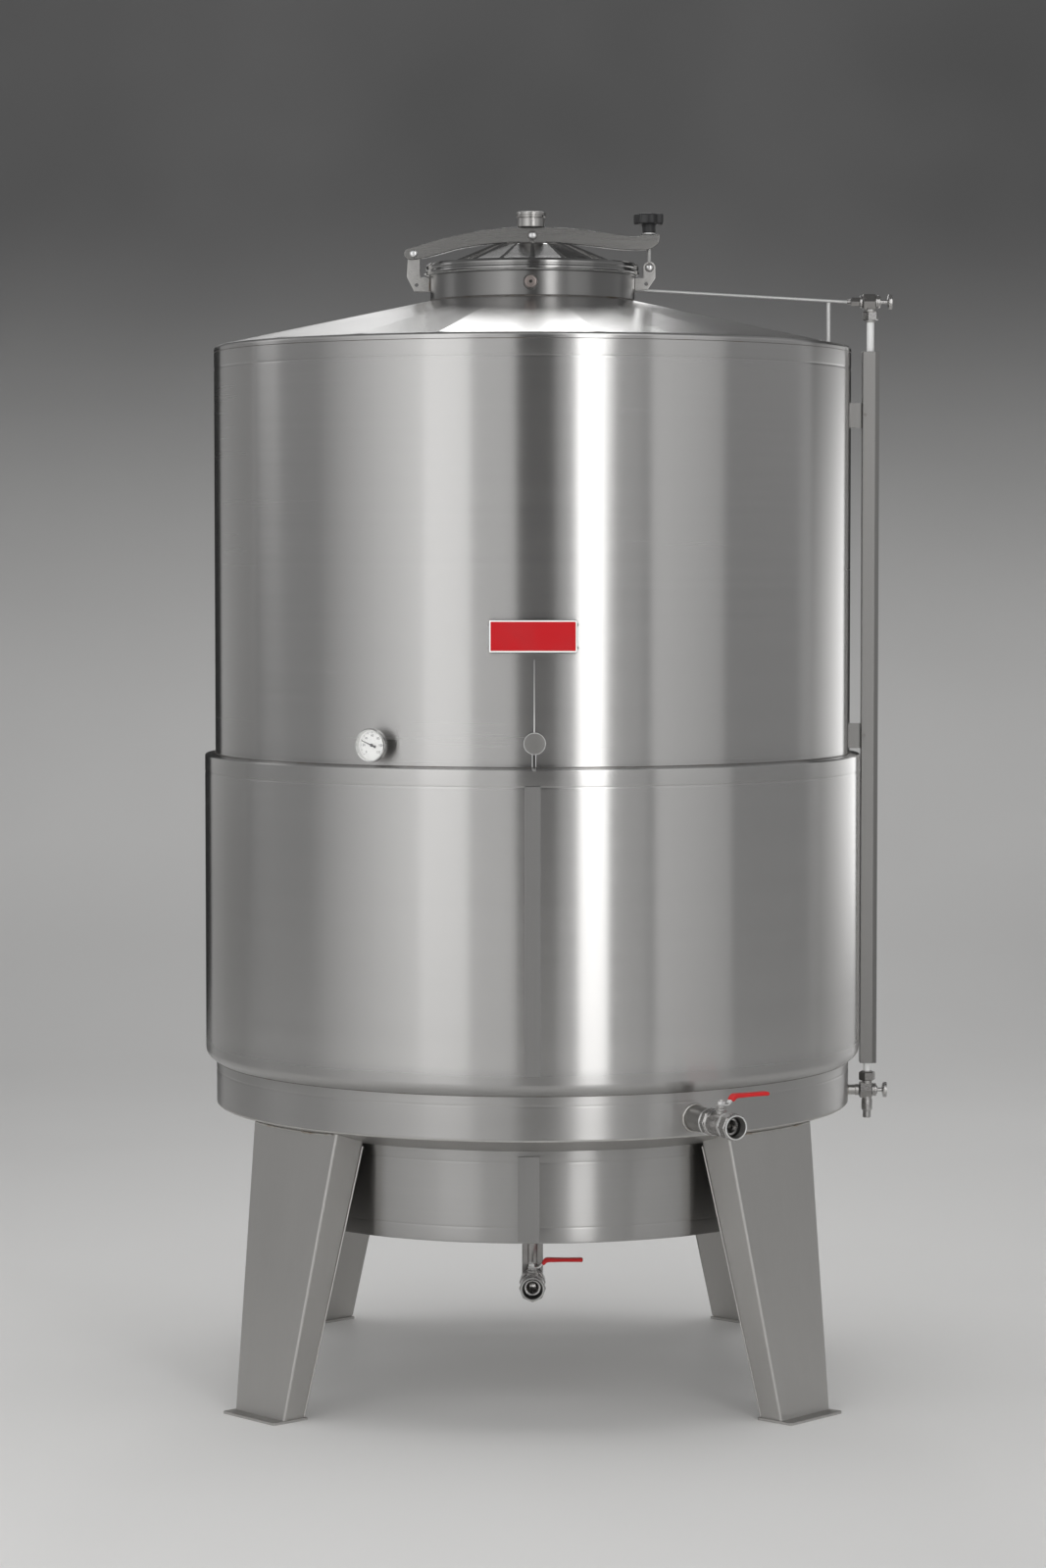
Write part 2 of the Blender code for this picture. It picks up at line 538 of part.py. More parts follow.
def build_valves(axis, steel, grey, chrome, red, shell_room):
    """Side outlet and bottom drain, each with a ball valve."""
    turn = Matrix.Rotation(math.radians(SIDE_ANGLE), 4, "Z")
    side = turn @ Matrix.Translation((0, -SIDE_STEM_R, SIDE_Z))
    inlet_r, outlet_r = 0.690, 0.786
    socket_outline = [(0.0235, 0.615), (0.0235, inlet_r - GAP), (0.0165, inlet_r - GAP), (0.0165, 0.615)]
    socket = turned(socket_outline, 24, True)
    piece = make_object("side_socket", placed(socket, turn @ along_front(0, 0, SIDE_Z)), grey, axis)
    combine(piece, shell_room, "DIFFERENCE")
    valve_body("side_valve", steel, side, SIDE_STEM_R - inlet_r, outlet_r - SIDE_STEM_R, axis)
    build_valve_moving("side", side, axis, chrome, steel, red)
    drain = Matrix.Translation((0, DRAIN_STEM_Y, DRAIN_Z))
    inlet_y, outlet_y = -ELBOW_R - 0.004, -0.132
    rings = [(0.0, 0.3560, 0.0), (0.0, DRAIN_Z + ELBOW_R, 0.0)]
    for turn_deg in (18, 36, 54, 72, 90):
        t = math.radians(turn_deg)
        rings.append((ELBOW_R * (math.cos(t) - 1), DRAIN_Z + ELBOW_R * (1 - math.sin(t)), t))
    rings.append((inlet_y + GAP, DRAIN_Z, math.pi / 2))
    make_object("drain_pipe", bent_pipe(rings, DRAIN_R, DRAIN_R - 0.003, 16), steel, axis)
    valve_body("drain_valve", steel, drain, inlet_y - DRAIN_STEM_Y, DRAIN_STEM_Y - outlet_y, axis)
    build_valve_moving("drain", drain, axis, chrome, steel, red)


def build_thermometer(axis, steel, white, black, glass, shell_room):
    """Dial thermometer: case with its stem, dial, pointer and glass, all on a radial axis."""
    frame = Matrix.Rotation(math.radians(DIAL_ANGLE), 4, "Z") @ along_front(0, -DIAL_BACK, DIAL_Z)
    case = [(0.0080, -0.0300), (0.0080, 0.0), (0.0290, 0.0), (DIAL_R, 0.002), (DIAL_R, 0.0125), (0.0305, 0.0140),
            (0.0290, 0.0140), (0.0290, 0.0020)]
    piece = make_object("dial_case", placed(solid_round(case, 32), frame), steel, axis)
    combine(piece, shell_room, "DIFFERENCE")
    make_object("dial_face", placed(cylinder(0.0287, 0.0023, 0.0033, 32), frame), white, axis)
    make_object("dial_glass", placed(cylinder(0.0287, 0.0110, 0.0125, 32), frame), glass, axis)
    spin = bpy.data.objects.new("dial_axis", None)
    bpy.context.scene.collection.objects.link(spin)
    spin.parent = axis
    spin.matrix_local = frame
    needle = [(-0.0060, -0.0020), (-0.0020, -0.0007), (0.0215, -0.0003), (0.0215, 0.0003), (-0.0020, 0.0007),
              (-0.0060, 0.0020), (-0.0085, 0.0020), (-0.0085, -0.0020)]
    bm = extruded(needle, 0.0060, 0.0068, "XY")
    pointer = make_object("dial_pointer", placed(bm, Matrix.Rotation(math.radians(POINTER_TURN), 4, "Z")), black, spin)
    combine(pointer, tool("dial_hub", solid_round([(0.0010, 0.0036), (0.0010, 0.0055), (0.0025, 0.0056),
                                                   (0.0025, 0.0075)], 12), spin), "UNION")


def build_plates(axis, steel, red, shell_room):
    """Nameplate on two studs, and the small disc with its channel above the jacket."""
    back, front = -0.6395, -0.6415
    plate = make_object("name_plate", block((-PLATE_W / 2, front, PLATE_Z - PLATE_H / 2),
                                            (PLATE_W / 2, back, PLATE_Z + PLATE_H / 2)), red, axis)
    for side in (-1, 1):
        stud = placed(cylinder(0.0030, -0.0005, 0.0150, 12), Matrix.Translation((side * 0.074, back, PLATE_Z))
                      @ Matrix.Rotation(math.radians(-90), 4, "X"))
        combine(plate, tool("plate_stud" + ("_right" if side > 0 else "_left"), stud, axis), "UNION")
    combine(plate, shell_room, "DIFFERENCE")
    wall = -SHELL_R - GAP
    disc = [(DISC_R - 0.001, 0.0), (DISC_R, 0.001), (DISC_R, 0.004), (DISC_R - 0.001, 0.005)]
    frame = along_front(DISC_X, wall - 0.001, DISC_Z)
    piece = make_object("disc_plug", placed(solid_round(disc, 24), frame), steel, axis)
    channel = block((DISC_X - 0.0065, wall - 0.0045, JACKET_TOP + 0.0075), (DISC_X + 0.0065, wall, DISC_Z))
    combine(piece, tool("disc_channel", channel, axis), "UNION")


def main():
    clear_scene()
    steel = finish_material("brushed_steel", (0.58, 0.57, 0.56), 1.0, 0.30)
    grey = finish_material("matt_steel", (0.46, 0.46, 0.45), 1.0, 0.45)
    cast = finish_material("cast_steel", (0.42, 0.42, 0.41), 1.0, 0.50)
    chrome = finish_material("polished_steel", (0.75, 0.75, 0.74), 1.0, 0.08)
    white = finish_material("white_rubber", (0.85, 0.85, 0.83), 0.0, 0.60)
    red = finish_material("red_plastic", (0.55, 0.02, 0.03), 0.0, 0.40)
    black = finish_material("black_plastic", (0.03, 0.03, 0.03), 0.0, 0.45)
    glass = finish_material("clear_glass", (0.80, 0.84, 0.83), 0.0, 0.05)
    axis = bpy.data.objects.new("tank_axis", None)
    bpy.context.scene.collection.objects.link(axis)
    axis.location = (AXIS_X, AXIS_Y, 0)
    room = SHELL_R + GAP
    shell_room = tool("shell_room", cylinder(room, 0.3, 2.2, ROUND_STEPS), axis)
    build_vessel(axis, steel, grey)
    build_lid(axis, steel, white, cast)
    build_arm(axis, steel, cast)
    build_brackets(axis, cast)
    build_clamp_screw(axis, steel, black)
    build_jacket(axis, steel)
    build_legs(axis, grey)
    build_gauge(axis, steel, grey, glass)
    build_valves(axis, steel, grey, chrome, red, shell_room)
    build_thermometer(axis, steel, white, black, glass, shell_room)
    build_plates(axis, steel, red, shell_room)
    bpy.context.view_layer.update()


main()
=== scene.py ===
"""Pieces, materials and studio of an upright stainless steel storage tank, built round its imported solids."""

from math import atan2, copysign, cos, degrees, hypot, pi, radians, sin, sqrt, tan

import bmesh
import bpy
from bpy.props import FloatProperty, FloatVectorProperty, IntProperty, PointerProperty
from mathutils import Matrix, Vector


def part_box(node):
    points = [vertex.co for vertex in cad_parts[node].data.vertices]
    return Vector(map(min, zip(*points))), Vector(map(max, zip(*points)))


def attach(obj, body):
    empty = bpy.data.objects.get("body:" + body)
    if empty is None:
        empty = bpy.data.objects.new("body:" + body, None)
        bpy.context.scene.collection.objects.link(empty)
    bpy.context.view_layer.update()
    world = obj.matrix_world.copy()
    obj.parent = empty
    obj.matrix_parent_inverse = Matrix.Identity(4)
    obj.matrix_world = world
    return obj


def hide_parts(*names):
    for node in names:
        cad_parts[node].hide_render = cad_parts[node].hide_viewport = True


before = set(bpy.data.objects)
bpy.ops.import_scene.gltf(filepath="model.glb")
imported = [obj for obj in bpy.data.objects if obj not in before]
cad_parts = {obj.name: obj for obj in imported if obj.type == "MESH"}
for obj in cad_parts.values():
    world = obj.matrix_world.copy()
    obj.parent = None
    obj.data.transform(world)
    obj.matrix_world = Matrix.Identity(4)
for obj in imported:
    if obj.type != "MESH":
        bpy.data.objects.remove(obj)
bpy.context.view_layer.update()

bl_info = {
    "name": "Storage Tank Looks",
    "version": (1, 0, 0),
    "blender": (4, 5, 0),
    "location": "View3D > Sidebar > Tank",
    "description": "Builds the finished pieces, materials and studio of a vertical storage tank",
    "category": "Object",
}


def middle(node):
    """Middle of a node's box."""
    low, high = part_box(node)
    return (low + high) / 2


# Places taken from the solids. Pieces are drawn round the tank's own axis and then moved there.
HOME = Vector((middle("shell").x, middle("shell").y, 0))
SHELL_R = (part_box("shell")[1].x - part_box("shell")[0].x) / 2
JACKET_R = (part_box("jacket")[1].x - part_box("jacket")[0].x) / 2
CASING_R = (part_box("casing")[1].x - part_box("casing")[0].x) / 2
NECK_R = (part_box("manhole_neck")[1].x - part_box("manhole_neck")[0].x) / 2
# Air left between pieces that touch on the real tank
GAP = 0.0003
# Where the roof and the bottom cone start, as (radius, height), and how steep they are
ROOF_FOOT = (0.627, 2.059)
ROOF_SLOPE = 0.2151
CONE_RIM = (0.632, 0.55)
CONE_SLOPE = 0.322
# The lid's hinge pin as (x, z), the clamp's stud and cross pin, and the pin between arm and lid
PIVOT = (-0.2372, 2.245)
STUD_X = 0.2325
TRUNNION_Z = 2.2175
ARM_PIN_Z = 2.281
# Turns in degrees: of two pieces about the tank's axis, from the front, and of the pointer on its dial
SIDE_TURN = 28.7
DIAL_TURN = -27.0
POINTER_TURN = 158.7


# Shader maths

class Field:
    """A shader socket that Python's operators work on; each of them adds the Math node that it needs."""

    def __init__(self, nodes, socket):
        self.nodes = nodes
        self.socket = socket

    def math(self, operation, *values):
        return self.nodes.node("ShaderNodeMath", {"operation": operation}, dict(enumerate((self, *values))))

    def __add__(self, other):
        return self.math("ADD", other)

    def __sub__(self, other):
        return self.math("SUBTRACT", other)

    def __rsub__(self, other):
        return (self * -1.0).math("ADD", other)

    def __mul__(self, other):
        return self.math("MULTIPLY", other)

    __radd__ = __add__
    __rmul__ = __mul__

    def clamped(self, low, high):
        return self.math("MAXIMUM", low).math("MINIMUM", high)

    def spread(self, low, high):
        """0 below low, 1 above high, and smooth between."""
        return self.nodes.node("ShaderNodeMapRange", {"interpolation_type": "SMOOTHSTEP"},
                               {"Value": self, "From Min": low, "From Max": high})


class Nodes:
    """The nodes of a material, a lamp or the world."""

    def __init__(self, tree):
        self.tree = tree

    def node(self, kind, settings=None, inputs=None, output=0):
        """Adds a node: first its settings, then the values or links of its sockets."""
        made = self.tree.nodes.new(kind)
        for key, value in (settings or {}).items():
            setattr(made, key, value)
        for key, value in (inputs or {}).items():
            self.feed(made.inputs[key], value)
        return Field(self, made.outputs[output])

    def feed(self, socket, value):
        """Gives a socket its value or its link."""
        if isinstance(value, Field):
            self.tree.links.new(value.socket, socket)
        else:
            socket.default_value = value


class Finish(Nodes):
    """A material in the making: its Principled shader and the nodes that feed it."""

    def __init__(self, name, color, metallic, roughness, **constants):
        self.material = bpy.data.materials.new(name)
        self.material.use_nodes = True
        super().__init__(self.material.node_tree)
        self.shader = self.tree.nodes["Principled BSDF"]
        self.color = (*color[:3], 1.0)
        self.shader.inputs["Base Color"].default_value = self.color
        self.shader.inputs["Metallic"].default_value = metallic
        self.shader.inputs["Roughness"].default_value = roughness
        for key, value in constants.items():
            self.shader.inputs[key.replace("_", " ").title()].default_value = value

    def place(self, scale=(1, 1, 1), centre=HOME):
        """Object coordinates, centred on the tank's axis and scaled."""
        spot = self.node("ShaderNodeTexCoord", None, None, "Object")
        spot = self.node("ShaderNodeMapping", None, {"Vector": spot, "Location": -Vector(centre)})
        return self.node("ShaderNodeMapping", None, {"Vector": spot, "Scale": scale})

    def noise(self, scale, detail):
        """Noise between 0 and 1, stretched by the three scales."""
        inputs = {"Vector": self.place(scale), "Scale": 1.0, "Detail": detail, "Roughness": 0.5}
        return self.node("ShaderNodeTexNoise", None, inputs, "Fac")

    def tint(self, amount, other):
        """Mixes the base colour towards another one by a field."""
        return self.node("ShaderNodeMix", {"data_type": "RGBA"},
                         {0: amount, 6: self.color, 7: (*other[:3], 1.0)}, 2)

    def bump(self, height, distance, strength=1.0, under=None):
        inputs = {"Height": height, "Distance": distance, "Strength": strength}
        if under:
            inputs["Normal"] = under
        return self.node("ShaderNodeBump", None, inputs, "Normal")

    def drive(self, **fields):
        """Feeds the shader's varying sockets, and gives the finished material."""
        for key, value in fields.items():
            self.feed(self.shader.inputs[key.replace("_", " ").title()], value)
        return self.material


# Scales of the scratches of sheet that was ground round the tank and of strips that were ground upward
AROUND = (3.0, 3.0, 600.0)
UPWARD = (300.0, 300.0, 5.0)


def dimmed(color, share):
    """This share of a colour."""
    return [c * share for c in color[:3]]


def brushed(name, color, roughness, grain, anisotropy=0.0, warp=0.0, streak=0.1, shade_below=None):
    """Brushed stainless steel. The grain gives the scales of its scratches, small along them and large
    across. Below the given height the sheet is rougher and painted darker, as shade at and under the jacket's
    foot."""
    made = Finish(name, color, 1.0, roughness, anisotropic=anisotropy, anisotropic_rotation=0.25)
    fine = made.noise(grain, 3.0)
    broad = made.noise(tuple(0.09 * g + 0.6 for g in grain), 2.0)
    cloud = made.noise((2.2, 2.2, 1.6), 2.0)
    shade = (fine - 0.5) * streak + (broad - 0.5) * 0.14 + (cloud - 0.5) * 0.1
    rough = shade * 0.32 + roughness
    darker = dimmed(color, 0.8)
    dark = 0.5 - shade * 2.2
    if shade_below:
        # Painted shade: below the height the tone is mixed darker and the roughness raised, for the shade
        # under the jacket.
        height = made.node("ShaderNodeSeparateXYZ", None, {0: made.place(centre=(0, 0, shade_below))}, 2)
        painted_shade = (height * -1.0).spread(-0.03, 0.02)
        rough, dark = painted_shade * 0.09 + rough, painted_shade * 0.9 + dark
    tone = made.tint(dark.clamped(0.0, 1.0), darker)
    normal = made.bump(fine, 0.00003, 0.5)
    if warp:
        normal = made.bump(made.noise((1.7, 1.7, 0.9), 1.0), warp, 1.0, normal)
    return made.drive(base_color=tone, roughness=rough.clamped(0.05, 0.9), normal=normal)


def cast(name, color, roughness, size=900.0):
    """Cast or forged steel with a fine grainy skin."""
    made = Finish(name, color, 1.0, roughness)
    grain = made.noise((size, size, size), 3.0)
    patch = made.noise((40.0, 40.0, 40.0), 2.0)
    tone = made.tint(((patch - 0.4) * 1.4).clamped(0.0, 1.0), dimmed(color, 0.72))
    rough = (grain - 0.5) * 0.16 + (patch - 0.5) * 0.12 + roughness
    return made.drive(base_color=tone, roughness=rough, normal=made.bump(grain, 0.00012, 0.5))


def weld(name, color=(0.5, 0.49, 0.47)):
    """A ground weld: duller than the sheet, with fine ripples and a brown tint in places."""
    made = Finish(name, color, 1.0, 0.42)
    ripple = made.noise((260.0, 260.0, 260.0), 2.0)
    heat = made.noise((30.0, 30.0, 30.0), 1.0).spread(0.5, 0.75)
    browned = (color[0] * 0.72, color[1] * 0.62, color[2] * 0.52)
    return made.drive(base_color=made.tint(heat, browned), roughness=(ripple - 0.5) * 0.3 + 0.42,
                      normal=made.bump(ripple, 0.0004, 0.5))


def moulded(name, color, roughness, grain=700.0, coat=0.0):
    """Moulded plastic, rubber or enamel with a slight texture."""
    made = Finish(name, color, 0.0, roughness, coat_weight=coat)
    skin = made.noise((grain, grain, grain), 2.0)
    dust = made.noise((24.0, 24.0, 24.0), 2.0)
    tone = made.tint(((dust - 0.45) * 0.7).clamped(0.0, 1.0), [c * 0.65 + 0.02 for c in color[:3]])
    return made.drive(base_color=tone, roughness=(skin - 0.5) * 0.12 + (dust - 0.5) * 0.1 + roughness,
                      normal=made.bump(skin, 0.00005, 0.4))


def pane(name, color, cover):
    """A clear pane or tube, of which only a share of the surface shows."""
    made = Finish(name, color, 0.0, 0.04)
    smear = made.noise((30.0, 30.0, 8.0), 2.0)
    return made.drive(roughness=(smear - 0.4) * 0.08 + 0.05,
                      alpha=((smear - 0.5) * 0.1 + cover).clamped(0.0, 1.0))


FINISHES = {}


def finish(name):
    """Makes each material once, when it is first asked for."""
    if name in FINISHES:
        return FINISHES[name]
    tank = bpy.context.scene.tank_looks
    steel, grey = tuple(tank.steel_color), tuple(tank.grey_color)
    makers = {
        "shell_steel": lambda n: brushed(n, steel, 0.26, AROUND, 1.0, warp=0.001, streak=0.09, shade_below=0.68),
        "jacket_steel": lambda n: brushed(n, steel, 0.24, AROUND, 1.0, warp=0.0012, streak=0.09, shade_below=0.67),
        # Painted shade: the casing's steel is a darker copy of the sheet, for the shade under the tank.
        "casing_steel": lambda n: brushed(n, dimmed(steel, 0.74), 0.3, AROUND, 1.0, warp=0.0012),
        "neck_steel": lambda n: brushed(n, dimmed(steel, 0.52), 0.34, (5.0, 5.0, 500.0), 0.9, warp=0.0006),
        "roof_steel": lambda n: brushed(n, dimmed(steel, 1.1), 0.25, (40.0, 40.0, 40.0), warp=0.0004),
        "lid_steel": lambda n: brushed(n, dimmed(steel, 0.52), 0.14, (90.0, 90.0, 90.0), 0.0),
        "strip_steel": lambda n: brushed(n, dimmed(steel, 0.53), 0.42, UPWARD, 0.0, streak=0.14),
        "guard_steel": lambda n: brushed(n, dimmed(grey, 0.52), 0.32, UPWARD, 0.0, streak=0.14),
        "leg_steel": lambda n: brushed(n, dimmed(grey, 1.18), 0.44, (220.0, 220.0, 6.0), 0.2),
        "satin_steel": lambda n: brushed(n, grey, 0.3, (300.0, 300.0, 60.0), 0.0),
        "channel_steel": lambda n: brushed(n, dimmed(grey, 0.86), 0.32, UPWARD, 0.0),
        "arm_steel": lambda n: brushed(n, dimmed(grey, 0.76), 0.27, (7.0, 60.0, 330.0), 0.0, streak=0.12),
        "bracket_steel": lambda n: cast(n, dimmed(grey, 1.22), 0.3),
        "pin_steel": lambda n: cast(n, (0.86, 0.855, 0.85), 0.3, 300.0),
        "brass_nickel": lambda n: cast(n, (0.52, 0.51, 0.5), 0.26, 500.0),
        "cock_nickel": lambda n: cast(n, (0.36, 0.35, 0.34), 0.24, 400.0),
        "weld_steel": weld,
        # Painted shade: a dark weld for beads in the corners between parts, standing in for the shade there.
        "dark_weld": lambda n: weld(n, (0.26, 0.25, 0.24)),
        # Pale, rough steel that looks evenly bright; on the shell's strip it is a painted highlight.
        "seam_steel": lambda n: brushed(n, (0.95, 0.95, 0.94), 0.6, UPWARD, 0.0, streak=0.04),
        "mirror_steel": lambda n: brushed(n, (0.78, 0.78, 0.77), 0.1, (200.0, 200.0, 200.0), 0.0),
        "white_rubber": lambda n: moulded(n, (0.86, 0.86, 0.84), 0.55),
        "white_enamel": lambda n: moulded(n, (0.9, 0.9, 0.88), 0.35, coat=0.2),
        "red_enamel": lambda n: moulded(n, tuple(tank.plate_color), 0.32, coat=0.3),
        "red_plastic": lambda n: moulded(n, tuple(tank.grip_color), 0.38),
        "black_plastic": lambda n: moulded(n, (0.022, 0.022, 0.023), 0.42, 500.0),
        "black_print": lambda n: moulded(n, (0.03, 0.03, 0.035), 0.5),
        "bore_shadow": lambda n: cast(n, (0.09, 0.088, 0.085), 0.42),
        "copper_ring": lambda n: cast(n, (0.46, 0.4, 0.38), 0.3),
        "dial_pane": lambda n: pane(n, (0.92, 0.92, 0.92), 0.06),
        "milky_tube": lambda n: pane(n, (0.88, 0.88, 0.87), 0.92),
    }
    FINISHES[name] = makers[name](name)
    return FINISHES[name]


# Mesh tools

def spun(outline, steps, closed=True):
    """Spins an outline of (radius, height) points about Z. An open outline starts and ends on the axis."""
    bm = bmesh.new()
    points = [bm.verts.new((radius, 0.0, height)) for radius, height in outline]
    for index in range(len(points) if closed else len(points) - 1):
        bm.edges.new((points[index], points[(index + 1) % len(points)]))
    bmesh.ops.spin(bm, geom=bm.verts[:] + bm.edges[:], cent=(0, 0, 0), axis=(0, 0, 1), dvec=(0, 0, 0),
                   angle=2 * pi, steps=steps, use_merge=True, use_duplicate=False)
    bmesh.ops.remove_doubles(bm, verts=bm.verts, dist=1e-6)
    bmesh.ops.recalc_face_normals(bm, faces=bm.faces)
    return bm


def rod(outline, steps=32):
    """A turned solid; the outline leaves out its two points on the axis."""
    return spun([(0.0, outline[0][1])] + list(outline) + [(0.0, outline[-1][1])], steps, closed=False)


def drawn(outline, low, high, plane="XZ"):
    """An outline in the XZ plane drawn along Y, or in the XY plane drawn along Z."""
    bm = bmesh.new()
    spots = [(a, low, b) if plane == "XZ" else (a, b, low) for a, b in outline]
    face = bm.faces.new([bm.verts.new(spot) for spot in spots])
    raised = bmesh.ops.extrude_face_region(bm, geom=[face])["geom"]
    step = Vector((0, high - low, 0)) if plane == "XZ" else Vector((0, 0, high - low))
    bmesh.ops.translate(bm, vec=step, verts=[v for v in raised if isinstance(v, bmesh.types.BMVert)])
    bmesh.ops.recalc_face_normals(bm, faces=bm.faces)
    return bm


def slab(low, high):
    """A box between two corners."""
    bm = bmesh.new()
    low, high = Vector(low), Vector(high)
    bmesh.ops.create_cube(bm, size=1.0, matrix=Matrix.Translation((low + high) / 2)
                          @ Matrix.Diagonal((*(high - low), 1.0)))
    return bm


def soften(bm, width, segments=2, angle=30.0, pick=None):
    """Bevels the edges that are sharper than the angle."""
    limit = radians(angle)
    edges = [e for e in bm.edges if len(e.link_faces) == 2 and e.calc_face_angle(0.0) > limit
             and (pick is None or pick(e))]
    bmesh.ops.bevel(bm, geom=edges, offset=width, offset_type="OFFSET", segments=segments, profile=0.5,
                    affect="EDGES", clamp_overlap=True, material=-1)
    return bm


def moved(bm, matrix):
    """Moves, turns or stretches a whole shape."""
    bmesh.ops.transform(bm, matrix=matrix, verts=bm.verts)
    return bm


def meshed(name, bm):
    """Turns a finished shape into a mesh of this name."""
    mesh = bpy.data.meshes.new(name)
    bm.to_mesh(mesh)
    bm.free()
    return mesh


def linked(name, data):
    """A new object in the scene."""
    thing = bpy.data.objects.new(name, data)
    bpy.context.scene.collection.objects.link(thing)
    return thing


def joined(*parts):
    """Puts several shapes into the first one."""
    first = parts[0]
    for part in parts[1:]:
        mesh = meshed("part", part)
        first.from_mesh(mesh)
        bpy.data.meshes.remove(mesh)
    return first


def tube_along(points, radius, sides=8, closed=False):
    """A round tube through points, as rings joined by bridges."""
    bm = bmesh.new()
    points = [Vector(p) for p in points]
    last = len(points) - 1
    rings = []
    for index, point in enumerate(points):
        before = points[index - 1] if index or closed else point
        after = points[(index + 1) % (last + 1)] if index < last or closed else point
        turn = (after - before).to_track_quat("Z", "Y").to_matrix().to_4x4()
        ring = bmesh.ops.create_circle(bm, cap_ends=False, segments=sides,
                                       radius=radius(index) if callable(radius) else radius,
                                       matrix=Matrix.Translation(point) @ turn)["verts"]
        rings.append(list(dict.fromkeys(edge for vert in ring for edge in vert.link_edges)))
    for here, there in list(zip(rings, rings[1:])) + ([(rings[-1], rings[0])] if closed else []):
        bmesh.ops.bridge_loops(bm, edges=here + there)
    if not closed:
        bmesh.ops.holes_fill(bm, edges=[e for e in bm.edges if e.is_boundary], sides=0)
    bmesh.ops.recalc_face_normals(bm, faces=bm.faces)
    return bm


def arc(x, z, radius, first, last, steps):
    """Points of an arc round (x, z), between two turns in degrees."""
    turns = [radians(first + (last - first) * k / steps) for k in range(steps + 1)]
    return [(x + radius * cos(t), z + radius * sin(t)) for t in turns]


def circle(x, z, radius, steps):
    """Points of a full circle, without its start a second time."""
    return arc(x, z, radius, 0, 360, steps)[:-1]


def swing(angle):
    """A turn about the upright axis, in degrees."""
    return Matrix.Rotation(radians(angle), 4, "Z")


def lying(x=0.0, y=0.0, z=0.0, way="front"):
    """Lays a turned shape along -Y or +X, starting from this point."""
    turn = Matrix.Rotation(radians(90), 4, "X" if way == "front" else "Y")
    return Matrix.Translation((x, y, z)) @ turn


def put(name, bm, material, replaces=(), smooth=35.0, at=None, sharp=None, body="tank"):
    """Finishes a mesh as a piece on its body: placed on the tank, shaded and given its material."""
    moved(bm, Matrix.Translation(HOME) @ (at or Matrix()))
    if sharp:
        for edge in bm.edges:
            if sharp(edge):
                edge.smooth = False
    mesh = meshed(name, bm)
    marks = [edge.use_edge_sharp for edge in mesh.edges] if sharp else []
    mesh.shade_smooth()
    mesh.set_sharp_from_angle(angle=radians(smooth))
    for edge, mark in zip(mesh.edges, marks):
        edge.use_edge_sharp = edge.use_edge_sharp or mark
    thing = linked(name, mesh)
    for each in material if isinstance(material, (list, tuple)) else [material]:
        mesh.materials.append(finish(each))
    keep_flats(thing)
    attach(thing, body)
    if replaces:
        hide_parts(*([replaces] if isinstance(replaces, str) else replaces))
    return thing


def keep_flats(thing):
    """Weighs the shading by face size, so that flat faces stay flat beside their rounded edges."""
    modifier = thing.modifiers.new("flat_faces", "WEIGHTED_NORMAL")
    modifier.keep_sharp = True
    modifier.weight = 80


def ring_bead(radius, height, thick, steps, ripple):
    """A weld bead round the tank's axis, with ripples along it."""
    bm = spun(circle(radius, height, thick, 6), steps)
    for vert in bm.verts:
        around = atan2(vert.co.y, vert.co.x)
        swell = 1.0 + ripple * sin(around * steps * 0.37) * sin(around * 23.0)
        out = hypot(vert.co.x, vert.co.y)
        scale = (radius + (out - radius) * swell) / out
        vert.co.x, vert.co.y = vert.co.x * scale, vert.co.y * scale
    return bm


def roof_over(radius):
    """Height of the roof's outside at this distance from the axis."""
    return ROOF_FOOT[1] + (ROOF_FOOT[0] - radius) * ROOF_SLOPE


def cone_under(radius):
    """Height of the bottom cone's underside at this distance from the axis."""
    return CONE_RIM[1] - (CONE_RIM[0] - radius) * CONE_SLOPE


def grooved(radius, low, high, grooves, depth):
    """Outer side of a drum from low to high, with a pressed line at each given height."""
    points = [(radius, low)]
    for z in sorted(grooves):
        points += [(radius, z - 0.004), (radius - depth, z - 0.001), (radius - depth, z + 0.001),
                   (radius, z + 0.004)]
    return points + [(radius, high)]


class TankLooks(bpy.types.PropertyGroup):
    """Sizes and colours that a user would change."""
    round_steps: IntProperty(name="Round Steps", description="Sides of the big drums", default=240, min=60,
                             max=480)
    lid_flats: IntProperty(name="Lid Flats", description="Flat fields pressed into the lid", default=16,
                           min=8)
    roof_tilt: FloatProperty(name="Roof Tilt", description="Uneven lie of the roof's flat fields",
                             default=0.0009, subtype="DISTANCE", unit="LENGTH")
    groove_depth: FloatProperty(name="Groove Depth", description="Depth of the pressed lines", default=0.0008,
                                subtype="DISTANCE", unit="LENGTH")
    bead: FloatProperty(name="Weld Bead", description="Radius of the weld beads", default=0.0016,
                        subtype="DISTANCE", unit="LENGTH")
    steel_color: FloatVectorProperty(name="Steel", description="Brushed sheet", subtype="COLOR", size=3,
                                     default=(0.62, 0.612, 0.602), min=0.0, max=1.0)
    grey_color: FloatVectorProperty(name="Dull Steel", description="Legs and castings", subtype="COLOR",
                                    size=3, default=(0.5, 0.49, 0.475), min=0.0, max=1.0)
    plate_color: FloatVectorProperty(name="Nameplate", description="Field of the nameplate", subtype="COLOR",
                                     size=3, default=(0.52, 0.003, 0.008), min=0.0, max=1.0)
    grip_color: FloatVectorProperty(name="Grips", description="Sleeves of the valve levers", subtype="COLOR",
                                    size=3, default=(0.62, 0.01, 0.012), min=0.0, max=1.0)


